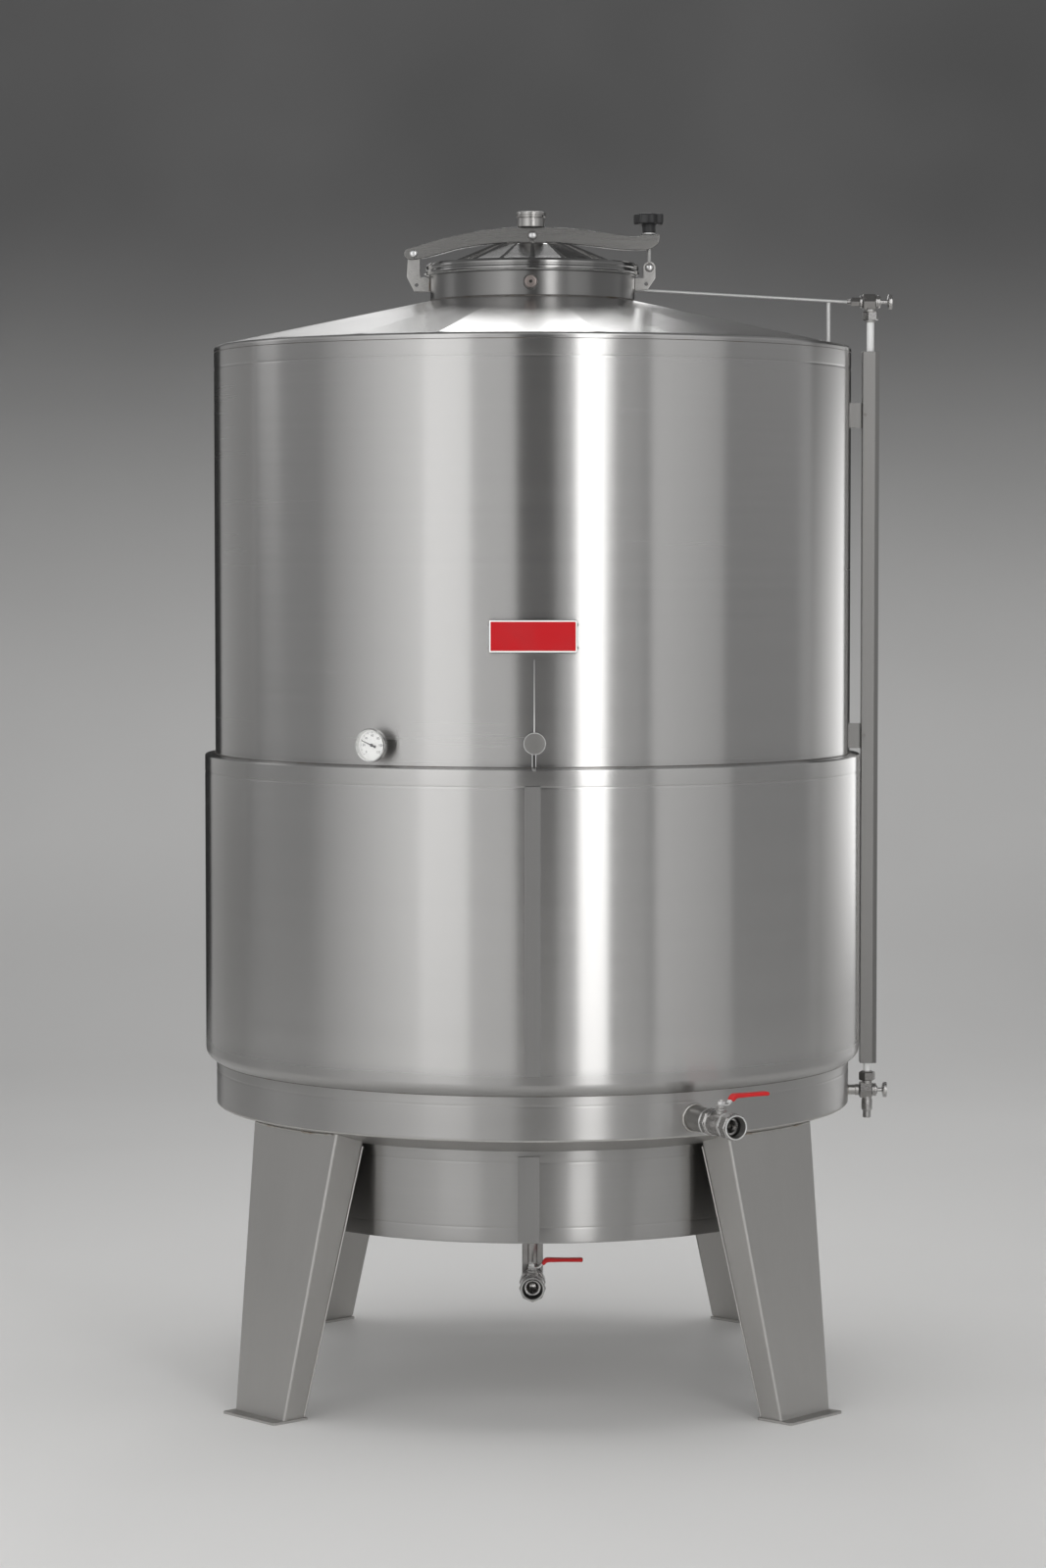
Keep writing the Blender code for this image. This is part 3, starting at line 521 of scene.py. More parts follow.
class BuildShell(bpy.types.Operator):
    """Shell drum with its pressed lines, a painted highlight strip above the disc, and the cone under it"""
    bl_idname = "tank.shell"
    bl_label = "Shell"

    def execute(self, context):
        tank = context.scene.tank_looks
        low, high = 0.5553, 2.0452
        outer = grooved(SHELL_R, low, high, (0.6185, 2.013), tank.groove_depth)
        put("shell_drum", spun(outer + [(SHELL_R - 0.003, high), (SHELL_R - 0.003, low)], tank.round_steps),
            "shell_steel", "shell")
        # Painted highlight: a bright strip between the disc and the nameplate, narrowed at its top, for the
        # streak of light that the shell reflects from the disc's rim.
        seam = slab((0.0022, -SHELL_R - 0.0005, 1.317), (0.0044, -SHELL_R + 0.001, 1.452))
        for vert in seam.verts:
            if vert.co.z > 1.4:
                vert.co.x = 0.0033 + (vert.co.x - 0.0033) * 0.25
        put("shell_highlight_strip", soften(seam, 0.0002), "seam_steel")
        hole = 0.0216
        rim = [(hole, cone_under(hole)), CONE_RIM, (0.6345, 0.552), (0.635, 0.555), (0.632, 0.555),
               (0.631, 0.5535), (hole, cone_under(hole) + 0.003)]
        put("bottom_dish", spun(rim, tank.round_steps), "leg_steel", "bottom_cone")
        return {"FINISHED"}


# Turns of the roof's creases in degrees: 0 is the front and the right side is positive
CREASES = (-176, -163, -150, -137, -124, -111, -99, -87, -75, -62, -50, -38, -31, -23, -16,
           -3, 11, 24, 37, 50, 63, 76, 89, 102, 116, 130, 141, 152, 163, 173, 184)


class BuildRoof(bpy.types.Operator):
    """Cone roof with its pressed flats and tight edge"""
    bl_idname = "tank.roof"
    bl_label = "Roof"

    def execute(self, context):
        tank = context.scene.tank_looks
        hole = NECK_R + 0.0006
        radii = [0.615, 0.56, 0.45, 0.33, 0.24, hole]
        over = [(SHELL_R, 2.0453), (SHELL_R, 2.0516), (0.6347, 2.0534), (0.6336, 2.0553), (0.6316, 2.057),
                (0.6296, 2.0579), (0.6262, 2.0591)] + [(r, roof_over(r)) for r in radii]
        under = [(r, z - 0.0025) for r, z in reversed(over[6:])]
        under += [(0.6303, 2.0545), (0.632, 2.05), (0.632, 2.0453)]
        bm = spun(over + under, 360)
        for vert in bm.verts:
            out = hypot(vert.co.x, vert.co.y)
            if 0.25 < out < 0.63:
                turn = (degrees(atan2(vert.co.x, -vert.co.y)) + 176.001) % 360 - 176.0
                flat = next(k for k in range(len(CREASES) - 1) if turn <= CREASES[k + 1] + 0.01)
                low, high = CREASES[flat], CREASES[flat + 1]
                off, half = radians(turn - (low + high) / 2), radians(high - low) / 2
                vert.co.z += (out - out * cos(off) / cos(half)) * ROOF_SLOPE
                vert.co.z -= tank.roof_tilt * (1 + (-1) ** flat * off / half) * min(1.0, (out - 0.25) / 0.2)

        def crease(edge):
            a, b = (v.co - HOME for v in edge.verts)
            turns = [degrees(atan2(p.x, -p.y)) for p in (a, b)]
            on_line = all(min(abs((t - c + 180) % 360 - 180) for c in CREASES) < 0.05 for t in turns)
            outs = [hypot(p.x, p.y) for p in (a, b)]
            return on_line and min(outs) > 0.23 and max(outs) < 0.63

        for face in bm.faces:
            spot = face.calc_center_median()
            face.material_index = int(spot.z < 2.0525 and hypot(spot.x, spot.y) > 0.6342)
        put("roof_sheet", bm, ["roof_steel", "shell_steel"], "roof_cone", sharp=crease)
        # Painted shade: the bead in the corner under the roof's edge is drawn dark.
        put("roof_weld", ring_bead(SHELL_R - 0.0003, 2.0452, 0.0007, tank.round_steps, 0.2), "dark_weld")
        return {"FINISHED"}


class BuildNeck(bpy.types.Operator):
    """Manhole neck with its top edge, plug and weld"""
    bl_idname = "tank.neck"
    bl_label = "Neck"

    def execute(self, context):
        bore = NECK_R - 0.003
        outline = [(NECK_R, 2.13), (NECK_R, 2.1985), (NECK_R + 0.0022, 2.2003), (NECK_R + 0.0022, 2.2015),
                   (bore, 2.2015), (bore, 2.13)]
        put("neck_drum", spun(outline, 192), "neck_steel", "manhole_neck")
        foot = roof_over(NECK_R)
        # Painted shade: the dark bead at the neck's foot stands in for the shade in that corner.
        put("neck_weld", ring_bead(NECK_R + 0.001, foot + 0.0008, 0.0017, 240, 0.3), "dark_weld")
        spot = lying(-0.0035, -NECK_R - GAP, 2.177)
        collar = rod([(0.0152, 0.0), (0.0152, 0.0036), (0.0142, 0.0048), (0.0126, 0.0048)], 48)
        put("plug_collar", collar, "cock_nickel", "neck_plug", at=spot)
        face = [(0.0126, 0.0044), (0.0126, 0.0072), (0.0112, 0.0092), (0.0088, 0.0094), (0.0082, 0.0086),
                (0.0074, 0.0086), (0.0068, 0.0098), (0.0036, 0.0098), (0.003, 0.009), (0.003, 0.0044)]
        put("plug_face", spun(face, 48), "copper_ring", at=spot)
        core = rod([(0.003, 0.004), (0.003, 0.0062), (0.002, 0.0066)])
        put("plug_core", core, "bore_shadow", at=spot)
        return {"FINISHED"}


def lump(centre, size, wave):
    """A hand-laid lump of sealant: a ball with a wave in it, stretched to its size."""
    bm = bmesh.new()
    bmesh.ops.create_icosphere(bm, subdivisions=3, radius=1.0)
    for vert in bm.verts:
        vert.co *= 1.0 + wave(vert.co)
    return moved(bm, Matrix.Translation(centre) @ Matrix.Diagonal((*size, 1.0)))


class BuildLid(bpy.types.Operator):
    """Pressed lid with its rolled rim and lug, and the white gasket under it"""
    bl_idname = "tank.lid"
    bl_label = "Lid"

    def execute(self, context):
        tank = context.scene.tank_looks
        over = [
            (0.2, 2.2062), (0.2088, 2.2062), (0.2088, 2.203), (0.211, 2.2024), (0.2121, 2.2032),
            (0.2125, 2.2052), (0.2123, 2.2085), (0.2108, 2.2108), (0.2108, 2.2125), (0.2116, 2.215),
            (0.2114, 2.219), (0.21, 2.222), (0.2078, 2.2237), (0.2045, 2.224), (0.199, 2.2236),
            (0.175, 2.224), (0.169, 2.225), (0.142, 2.2356), (0.086, 2.259), (0.074, 2.263),
            (0.06, 2.2645), (0.0, 2.2648),
        ]
        under = [(0.0, 2.262), (0.059, 2.2618), (0.073, 2.2602), (0.085, 2.2562), (0.141, 2.2328),
                 (0.168, 2.2222), (0.2, 2.221)]
        bm = spun(under + over, 192, closed=False)
        half = pi / tank.lid_flats
        for vert in bm.verts:
            out = hypot(vert.co.x, vert.co.y)
            if 0.062 < out < 0.174:
                off = atan2(vert.co.x, -vert.co.y) % (2 * half) - half
                vert.co.z += (out - out * cos(off) / cos(half)) * 0.4
                if half - abs(off) < 0.01:
                    vert.co.z += 0.0022
        put("lid_dish", bm, "lid_steel", "lid", smooth=12.0, body="lid_arm")
        lug = soften(slab((-0.015, -0.006, 2.2635), (0.015, 0.006, 2.2885)), 0.001)
        put("lid_lug", lug, "arm_steel", body="lid_arm")
        seal = [(0.2085, 2.202), (0.2092, 2.2038), (0.2085, 2.2059), (0.197, 2.2059), (0.197, 2.202)]
        put("lid_seal", spun(seal, 192), "white_rubber", "lid_gasket", body="lid_arm")
        lumps = []
        for x, z, wide, tall in ((-0.211, 2.2146, 0.0021, 0.0026), (-0.2115, 2.2046, 0.0046, 0.0024),
                                 (-0.2085, 2.2026, 0.003, 0.0022)):
            lumps.append(lump((x, 0, z), (wide, 0.005, tall),
                              lambda p: 0.22 * sin(p.x * 4.1 + z * 900) * sin(p.z * 5.3 + 1.0)))
        put("seal_lumps", joined(*lumps), "white_rubber", body="lid_arm")
        return {"FINISHED"}


class BuildArm(bpy.types.Operator):
    """Clamp arm with its pins and the breather cap"""
    bl_idname = "tank.arm"
    bl_label = "Arm"

    def execute(self, context):
        half = 0.012
        ear = arc(-0.2445, PIVOT[1], 0.0115, 100, 270, 12)
        below = [
            (-0.223, 2.2352), (-0.21, 2.238), (-0.1967, 2.2413), (-0.172, 2.2482), (-0.1479, 2.2548),
            (-0.116, 2.2605), (-0.0851, 2.2645), (-0.045, 2.2672), (0.0443, 2.2672), (0.081, 2.264),
            (0.1158, 2.2604), (0.1507, 2.256), (0.1769, 2.2534), (0.2031, 2.252), (0.217, 2.2522),
            (0.2292, 2.2534), (0.2414, 2.2575), (0.2505, 2.266), (0.2536, 2.276),
        ]
        above = [
            (0.2527, 2.285), (0.247, 2.2834), (0.2185, 2.2834), (0.208, 2.2785), (0.192, 2.2792),
            (0.1734, 2.2817), (0.153, 2.2849), (0.1333, 2.2881), (0.109, 2.2917), (0.0844, 2.2945),
            (0.056, 2.2966), (0.0269, 2.2976), (-0.031, 2.2976), (-0.055, 2.2962), (-0.0781, 2.2935),
            (-0.101, 2.2912), (-0.1234, 2.288), (-0.1583, 2.2803), (-0.179, 2.2757), (-0.1967, 2.2705),
            (-0.216, 2.265), (-0.2334, 2.2595),
        ]
        bm = soften(drawn(ear + below + above, -half, half), 0.0016, 3, 50.0)
        arm = put("clamp_arm", bm, "arm_steel", "lid_arm", body="lid_arm")
        cuts = [slab((-0.3, -0.0055, 2.2), (-0.221, 0.0055, 2.3)),
                slab((0.2265, -0.005, 2.2), (0.3, 0.005, 2.33)),
                slab((-0.0155, -0.0065, 2.25), (0.0155, 0.0065, 2.289))]
        for index, cutter in enumerate(cuts):
            cut_away(arm, "arm_cut_%d" % index, cutter)
        put("arm_bolt", riveted(0.008, half, 0.008, 0.004, half + GAP), "pin_steel", "arm_pin",
            at=lying(0, 0, ARM_PIN_Z), body="lid_arm")
        put("arm_washer", flat_ring(0.0082, 0.0105, 0.0006), "cock_nickel", at=lying(0, -half, ARM_PIN_Z),
            body="lid_arm")
        low = 2.2979
        cap = [(0.0262, low), (0.027, low + 0.001), (0.027, 2.3148), (0.0262, 2.3154), (0.0262, 2.3166),
               (0.0292, 2.3174), (0.0295, 2.319), (0.0295, 2.3205), (0.0286, 2.321), (0.0286, 2.3216),
               (0.0295, 2.3221), (0.0295, 2.3264), (0.0288, 2.3276), (0.0274, 2.328), (0.0262, 2.327)]
        spot = Matrix.Translation((-0.003, 0, 0))
        put("cap_body", rod(cap, 64), "satin_steel", "breather_cap", at=spot, body="lid_arm")
        for name, turn, z, reach, look in (("cap_screw", -46.0, 2.3243, 0.002, "pin_steel"),
                                           ("cap_hole", 52.0, 2.319, 0.0004, "bore_shadow")):
            stub = rod([(0.0021, -0.002), (0.0021, reach * 0.6), (0.0014, reach)], 20)
            put(name, stub, look, at=spot @ swing(turn) @ lying(0, -0.0294, z), body="lid_arm")
        return {"FINISHED"}


def riveted(head, reach, wide, neck, half):
    """A pin with a domed head beyond the reach at each end, two shoulders and a thinner neck between them."""
    steps = [(head * 0.42, 0.0036), (head * 0.74, 0.003), (head * 0.94, 0.0018), (head, 0.0006)]
    side = [(r, reach + z) for r, z in steps] + [(wide, half), (neck, half)]
    return rod([(r, -z) for r, z in side] + side[::-1])


def flat_ring(inner, outer, thick):
    """A washer."""
    return spun([(inner, 0.0001), (outer, 0.0001), (outer, thick), (inner, thick)], 32)


def cut_away(thing, name, bm):
    """Cuts a shape out of a finished piece and applies the cut."""
    moved(bm, Matrix.Translation(HOME))
    bmesh.ops.recalc_face_normals(bm, faces=bm.faces)
    mesh = meshed(name, bm)
    cutter = linked(name, mesh)
    thing.modifiers.clear()
    modifier = thing.modifiers.new(name, "BOOLEAN")
    modifier.operation, modifier.solver, modifier.object = "DIFFERENCE", "EXACT", cutter
    bpy.context.view_layer.update()
    graph = bpy.context.evaluated_depsgraph_get()
    made = bpy.data.meshes.new_from_object(thing.evaluated_get(graph))
    thing.modifiers.clear()
    old, thing.data = thing.data, made
    made.name = old.name + "_cut"
    bpy.data.meshes.remove(old)
    bpy.data.objects.remove(cutter)
    bpy.data.meshes.remove(mesh)
    made.set_sharp_from_angle(angle=radians(35))
    keep_flats(thing)


class BuildBrackets(bpy.types.Operator):
    """Hinge bracket and clamp bracket on the neck, each with its pin"""
    bl_idname = "tank.brackets"
    bl_label = "Brackets"

    def execute(self, context):
        root = NECK_R + GAP
        px, pz = PIVOT
        plate = arc(px, pz, 0.0118, 0, 180, 14)
        plate += [(px - 0.0118, 2.2323), (-0.2508, 2.1993), (-0.2363, 2.1706), (-root, 2.17),
                  (-root, 2.1977), (-0.224, 2.199), (px + 0.0118, 2.2357)]
        bm = soften(drawn(plate, -0.005, 0.005), 0.0013, 2, 50.0)
        hinge = put("hinge_plate", bm, "bracket_steel", "hinge_bracket")
        cut_away(hinge, "hinge_hole", moved(rod([(0.004, -0.02), (0.004, 0.02)]), lying(-0.2316, 0, 2.1836)))
        put("hinge_pin", riveted(0.0078, 0.0118, 0.0075, 0.005, 0.0126), "pin_steel", at=lying(px, 0, pz))
        heights = (2.1702, 2.18, 2.19, 2.1974)
        root_bead = tube_along([(-root - 0.0012, -0.0064, z) for z in heights], 0.0016, 10)
        # Painted shade: the bead at the bracket's root is drawn dark.
        put("hinge_weld", root_bead, "dark_weld")
        tx = STUD_X + 0.0005
        cheek = arc(tx, TRUNNION_Z, 0.012, 0, 180, 14)
        cheek += [(0.2206, 2.1971), (root, 2.1971), (root, 2.1737), (0.2294, 2.1737), (0.2447, 2.1971)]
        near = soften(drawn(cheek, -0.009, -0.006), 0.001, 2, 50.0)
        far = soften(drawn(cheek, 0.006, 0.009), 0.001, 2, 50.0)
        clamp = put("clamp_cheeks", joined(near, far), "bracket_steel", "clamp_bracket")
        cut_away(clamp, "clamp_hole", moved(rod([(0.004, -0.02), (0.004, 0.02)]), lying(0.2268, 0, 2.1855)))
        put("clamp_pin", riveted(0.0072, 0.0086, 0.007, 0.006, 0.0091), "pin_steel",
            at=lying(tx, 0, TRUNNION_Z))
        put("clamp_washer", flat_ring(0.0074, 0.0092, 0.0005), "cock_nickel",
            at=lying(tx, -0.009, TRUNNION_Z))
        return {"FINISHED"}


class BuildClampScrew(bpy.types.Operator):
    """Threaded stud and black star knob of the clamp"""
    bl_idname = "tank.clamp_screw"
    bl_label = "Clamp Screw"

    def execute(self, context):
        foot, washer, hub, disc, top = TRUNNION_Z + 0.0063, 2.2837, 2.2876, 2.3035, 2.3245
        spot = Matrix.Translation((STUD_X, 0, 0))
        thread, z = [(0.0034, foot)], foot + 0.001
        while z < washer - 0.003:
            thread += [(0.004, z), (0.0034, z + 0.00075)]
            z += 0.0015
        thread += [(0.004, washer - 0.001), (0.004, washer)]
        nut = [(0.011, washer), (0.0125, washer + 0.0006), (0.0125, washer + 0.0016), (0.01, washer + 0.0018),
               (0.01, hub - GAP)]
        put("clamp_rod", rod(thread + nut, 24), "seam_steel", "clamp_stud", at=spot, body="clamp_knob")
        size, mean, lobe, lobes = 0.028, 0.0277, 0.003, 7
        bm = bmesh.new()
        for vert in bmesh.ops.create_circle(bm, cap_ends=True, segments=112, radius=size)["verts"]:
            vert.co *= (mean - lobe * cos(lobes * atan2(vert.co.y, vert.co.x))) / size
        raised = bmesh.ops.extrude_face_region(bm, geom=bm.faces[:])["geom"]
        bmesh.ops.translate(bm, vec=(0, 0, top - disc),
                            verts=[v for v in raised if isinstance(v, bmesh.types.BMVert)])
        bmesh.ops.recalc_face_normals(bm, faces=bm.faces)
        soften(bm, 0.0038, 4, 60.0)
        moved(bm, Matrix.Translation((0, 0, disc)))
        collar = rod([(0.0118, hub), (0.0133, hub + 0.0015), (0.0133, hub + 0.008), (0.015, disc - 0.001),
                      (0.0165, disc + 0.002)])
        put("star_knob", joined(bm, collar), "black_plastic", "clamp_knob", at=spot,
            body="clamp_knob")
        return {"FINISHED"}


class BuildJacket(bpy.types.Operator):
    """Jacket round the lower half with its closing ring, pressed lines and upright strip"""
    bl_idname = "tank.jacket"
    bl_label = "Jacket"

    def execute(self, context):
        tank = context.scene.tank_looks
        wall, top, low = SHELL_R + GAP, 1.249, 0.6625
        outer = [(wall, 0.638), (0.6425, 0.6426), (0.649, 0.6474), (0.6535, 0.653), (0.6554, 0.6582)]
        outer += grooved(JACKET_R, low, top - 0.003, (1.2155,), tank.groove_depth)
        outer += [(JACKET_R - 0.0004, top - 0.0012), (JACKET_R - 0.0015, top), (0.648, top + 0.0012),
                  (wall, top + 0.0024)]
        inner = [(wall, top - 0.0004), (JACKET_R - 0.0028, top - 0.0028), (JACKET_R - 0.002, top - 0.004),
                 (JACKET_R - 0.002, low + 0.0006), (0.6528, 0.656), (0.6468, 0.6492), (wall, 0.641)]
        put("jacket_drum", spun(outer + inner, tank.round_steps), "jacket_steel", "jacket")
        # Painted shade: the beads at the jacket's top and foot are drawn dark.
        put("jacket_top_weld", ring_bead(wall + 0.0002, top + 0.0026, 0.001, tank.round_steps, 0.4),
            "dark_weld")
        put("jacket_foot_weld", ring_bead(wall, 0.6378, 0.001, tank.round_steps, 0.4), "dark_weld")
        strip = slab((-0.015, -JACKET_R - 0.002, 0.676), (0.015, -JACKET_R - GAP, 1.217))
        put("jacket_strip", soften(strip, 0.0005), "strip_steel", "jacket_seam")
        mark = rod([(0.0018, 0.0), (0.0018, 0.0006), (0.001, 0.001)], 20)
        put("jacket_mark", mark, "dark_weld", at=swing(-84) @ lying(0, -JACKET_R, 1.218))
        return {"FINISHED"}


class BuildCasing(bpy.types.Operator):
    """Casing under the tank with its pressed lines and upright strip"""
    bl_idname = "tank.casing"
    bl_label = "Casing"

    def execute(self, context):
        tank = context.scene.tank_looks
        hole, low = 0.0216, 0.346
        top = cone_under(CASING_R) - GAP
        outer = [(hole, low), (CASING_R - 0.004, low), (CASING_R - 0.001, low + 0.001)]
        outer += grooved(CASING_R, low + 0.004, top, (0.376, 0.5), tank.groove_depth)
        inside = CASING_R - 0.002
        inner = [(inside, cone_under(inside) - GAP), (inside, low + 0.004), (inside - 0.001, low + 0.002),
                 (hole, low + 0.002)]
        put("casing_drum", spun(outer + inner, tank.round_steps), "casing_steel", "casing")
        strip = slab((-0.0275, -CASING_R - 0.002, 0.35), (0.0135, -CASING_R - GAP, 0.512))
        put("casing_strip", soften(strip, 0.0005), "strip_steel", "casing_seam")
        return {"FINISHED"}


class BuildLegs(bpy.types.Operator):
    """Four folded box legs with their foot plates and welds"""
    bl_idname = "tank.legs"
    bl_label = "Legs"

    def execute(self, context):
        angles = {"front_left": -47.5, "front_right": 47.5, "back_right": 137.5, "back_left": -137.5}
        low_z, top_z, foot_half, top_half = 0.005, 0.555, 0.074, 0.1255
        for name, angle in angles.items():
            turn = swing(angle)
            bm = slab((-0.5, -0.5, 0), (0.5, 0.5, 1))
            for vert in bm.verts:
                up = vert.co.z > 0.5
                half = top_half if up else foot_half
                out, near = (0.618, 0.5495) if up else (0.7076, 0.6556)
                vert.co = Vector((copysign(half, vert.co.x), -out if vert.co.y < 0 else -near,
                                  top_z if up else low_z))
            soften(bm, 0.0045, 3, 30.0, lambda e: abs(e.verts[0].co.z - e.verts[1].co.z) > 0.3)
            edges = [e for e in bm.edges if all(v.co.z > 0.5 for v in e.verts) and e.calc_length() > 0.03]
            bmesh.ops.subdivide_edges(bm, edges=edges, cuts=14, use_grid_fill=False)
            for vert in bm.verts:
                if vert.co.z > 0.5:
                    reach = hypot(vert.co.x, vert.co.y)
                    share = (top_z - cone_under(reach)) / (top_z - low_z)
                    vert.co.z = cone_under(reach) - GAP
                    vert.co.x *= 1 - share * (top_half - foot_half) / top_half
            put("leg_" + name + "_box", bm, "leg_steel", "leg_" + name, at=turn)
            for side in (-1, 1):
                lip = [(side * (foot_half + 0.0006), -0.658, low_z + 0.002), (side * 0.1246, -0.553, 0.52)]
                edge = "leg_%s_lip_%s" % (name, "left" if side < 0 else "right")
                put(edge, tube_along(lip, 0.0017, 10), "leg_steel", at=turn)
            bead = []
            for k in range(41):
                x = -0.118 + 0.236 * k / 40
                y = -0.618 + 0.0012 * sin(k * 1.7)
                bead.append((x, y, cone_under(hypot(x, 0.618)) - 0.0022))
            bm = tube_along(bead, lambda i: 0.0022 + 0.0005 * sin(i * 2.1))
            put("leg_%s_weld" % name, bm, "weld_steel", at=turn)
            foot = soften(slab((-0.078, -0.735, 0.0), (0.078, -0.651, 0.005)), 0.004, 3, 30.0,
                          lambda e: abs(e.verts[0].co.z - e.verts[1].co.z) > 0.003)
            put("foot_" + name, soften(foot, 0.0006), "leg_steel", at=turn)
        return {"FINISHED"}


def hex_bar(outline, turn=0):
    """A six-sided bar, turned by some degrees. Its outline gives half the width across its flats, and z."""
    grow = 1 / cos(pi / 6)
    bm = rod([(r * grow, z) for r, z in outline], 6)
    return moved(bm, swing(turn))


class BuildGauge(bpy.types.Operator):
    """Level gauge: cocks, handwheels, glass, guard, brackets, vent tube and its post"""
    bl_idname = "tank.gauge"
    bl_label = "Level Gauge"

    def execute(self, context):
        wall, x, half = SHELL_R + GAP, 0.675, 0.016
        upper, lower = 2.15, 0.5675
        spot = Matrix.Translation((x, 0, 0))

        def turned(name, outline, look, at, steps=32):
            put(name, rod(outline, steps), look, at=at)

        def hexed(name, outline, turn, look, at, node=()):
            put(name, hex_bar(outline, turn), look, node, 20.0, at)

        for node, z in (("upper_cock", upper), ("lower_cock", lower)):
            cock = lying(x - half, 0, z, "side")
            hexed(node + "_body", [(0.0128, 0.0), (0.0152, 0.0022), (0.0152, 0.0245), (0.0128, 0.0262)], 30,
                  "cock_nickel", cock, node)
            gland = [(0.0112, 0.0258), (0.0132, 0.0266), (0.0132, 0.0292), (0.0122, 0.03), (0.0132, 0.0308),
                     (0.0132, 0.0338), (0.0118, 0.035), (0.0078, 0.0352), (0.0078, 0.0369)]
            turned(node + "_gland", gland, "brass_nickel", cock, 40)
        union = lying(0.6285, 0, upper, "side")
        turned("vent_union", [(0.0036, 0.0), (0.0044, 0.003), (0.0062, 0.0062), (0.007, 0.0066)],
               "brass_nickel", union)
        hexed("vent_union_nut", [(0.0076, 0.0064), (0.0086, 0.0076), (0.0086, 0.0238), (0.0076, 0.025)], 30,
              "cock_nickel", union)
        turned("vent_union_ring", [(0.0096, 0.0242), (0.0122, 0.0252), (0.0122, 0.0292), (0.0104, 0.0306)],
               "brass_nickel", union, 40)
        hexed("upper_nut", [(0.0126, 2.113), (0.0144, 2.115), (0.0144, 2.1288), (0.0126, 2.1308)], 12,
              "brass_nickel", spot)
        turned("upper_tail", [(0.0092, 2.1095), (0.0104, 2.1105), (0.0104, 2.135)], "satin_steel", spot)
        hexed("lower_nut", [(0.0126, 0.5866), (0.0146, 0.5884), (0.0146, 0.6026), (0.0126, 0.6044)], 12,
              "cock_nickel", spot)
        tail = [(0.007, 0.511), (0.0082, 0.5122), (0.0082, 0.5256), (0.0094, 0.5262), (0.011, 0.529),
                (0.011, 0.547), (0.0098, 0.55), (0.0098, 0.6058)]
        turned("lower_tail", tail, "brass_nickel", spot)
        start = x + half + 0.005
        for name, node, z, out in (("upper_wheel", "upper_knob", upper, 0.718),
                                   ("lower_wheel", "lower_knob", lower, 0.7145)):
            reach = out - start
            wheel = [(0.004, GAP), (0.004, reach - 0.0095), (0.0076, reach - 0.0088), (0.012, reach - 0.0082),
                     (0.015, reach - 0.0072), (0.0155, reach - 0.0062), (0.0155, reach - 0.0012),
                     (0.0148, reach)]
            bm = rod(wheel, 48)
            for vert in bm.verts:
                if hypot(vert.co.x, vert.co.y) > 0.0153:
                    wave = 1 - 0.035 * (0.5 + 0.5 * cos(12 * atan2(vert.co.y, vert.co.x)))
                    vert.co.x, vert.co.y = vert.co.x * wave, vert.co.y * wave
            put(name, bm, "brass_nickel", node, at=lying(start, 0, z, "side"), body=node)
        tube = [(0.0075, 0.6063), (0.0075, 2.1097), (0.0055, 2.1097), (0.0055, 0.6063)]
        put("gauge_glass", spun(tube, 32), "milky_tube", "gauge_tube", at=spot)
        x0, x1, x2, y1, y2, t = 0.6595, 0.684, 0.6927, 0.0165, 0.0125, 0.002
        channel = [(x0, y1), (x0, -y1), (x1, -y1), (x2, -y2), (x2 - 0.0004, -y2 + t), (x1, -y1 + t),
                   (x0 + t, -y1 + t), (x0 + t, y1 - t), (x1, y1 - t), (x2 - 0.0004, y2 - t), (x2, y2),
                   (x1, y1)]
        put("guard_channel", soften(drawn(channel, 0.623, 2.051, "XY"), 0.0006, 2, 60.0), "guard_steel",
            "gauge_guard", smooth=20.0)
        for name, z in (("guard_bracket_top", 1.899), ("guard_bracket_low", 1.258)):
            bm = soften(slab((wall, -0.002, z), (x0 - GAP, 0.002, z + 0.05)), 0.0005)
            put(name.replace("bracket", "strap"), bm, "guard_steel", name)
            dot = rod([(0.0032, 0.0), (0.0026, 0.0005)], 20)
            put(name.replace("bracket", "spot"), dot, "dark_weld", at=lying(x0 + 0.005, -y1, z + 0.026))
        stub = rod([(0.01, wall), (0.01, x - half - 0.008), (0.0112, x - half - 0.0072),
                    (0.0112, x - half - 0.0012), (0.01, x - half - GAP)])
        put("gauge_inlet", stub, "satin_steel", "gauge_stub", at=lying(0, 0, lower, "side"))
        foot = [(wall + 0.0004, y, z) for y, z in circle(0, lower, 0.0108, 36)]
        put("gauge_inlet_weld", tube_along(foot, 0.0015, 8, True), "weld_steel")
        start, end = Vector((NECK_R + 0.0005, 0, 2.174)), Vector((0.6282, 0, upper))
        put("vent_pipe", tube_along([start, end], 0.003, 24), "seam_steel", "vent_tube")
        post_x = 0.591
        under = start.z + (end.z - start.z) * (post_x - start.x) / (end.x - start.x) - 0.0036
        put("vent_stand", moved(rod([(0.004, roof_over(post_x) + 0.0013), (0.004, under)]),
                                Matrix.Translation((post_x, 0, 0))), "seam_steel", "vent_post")
        return {"FINISHED"}


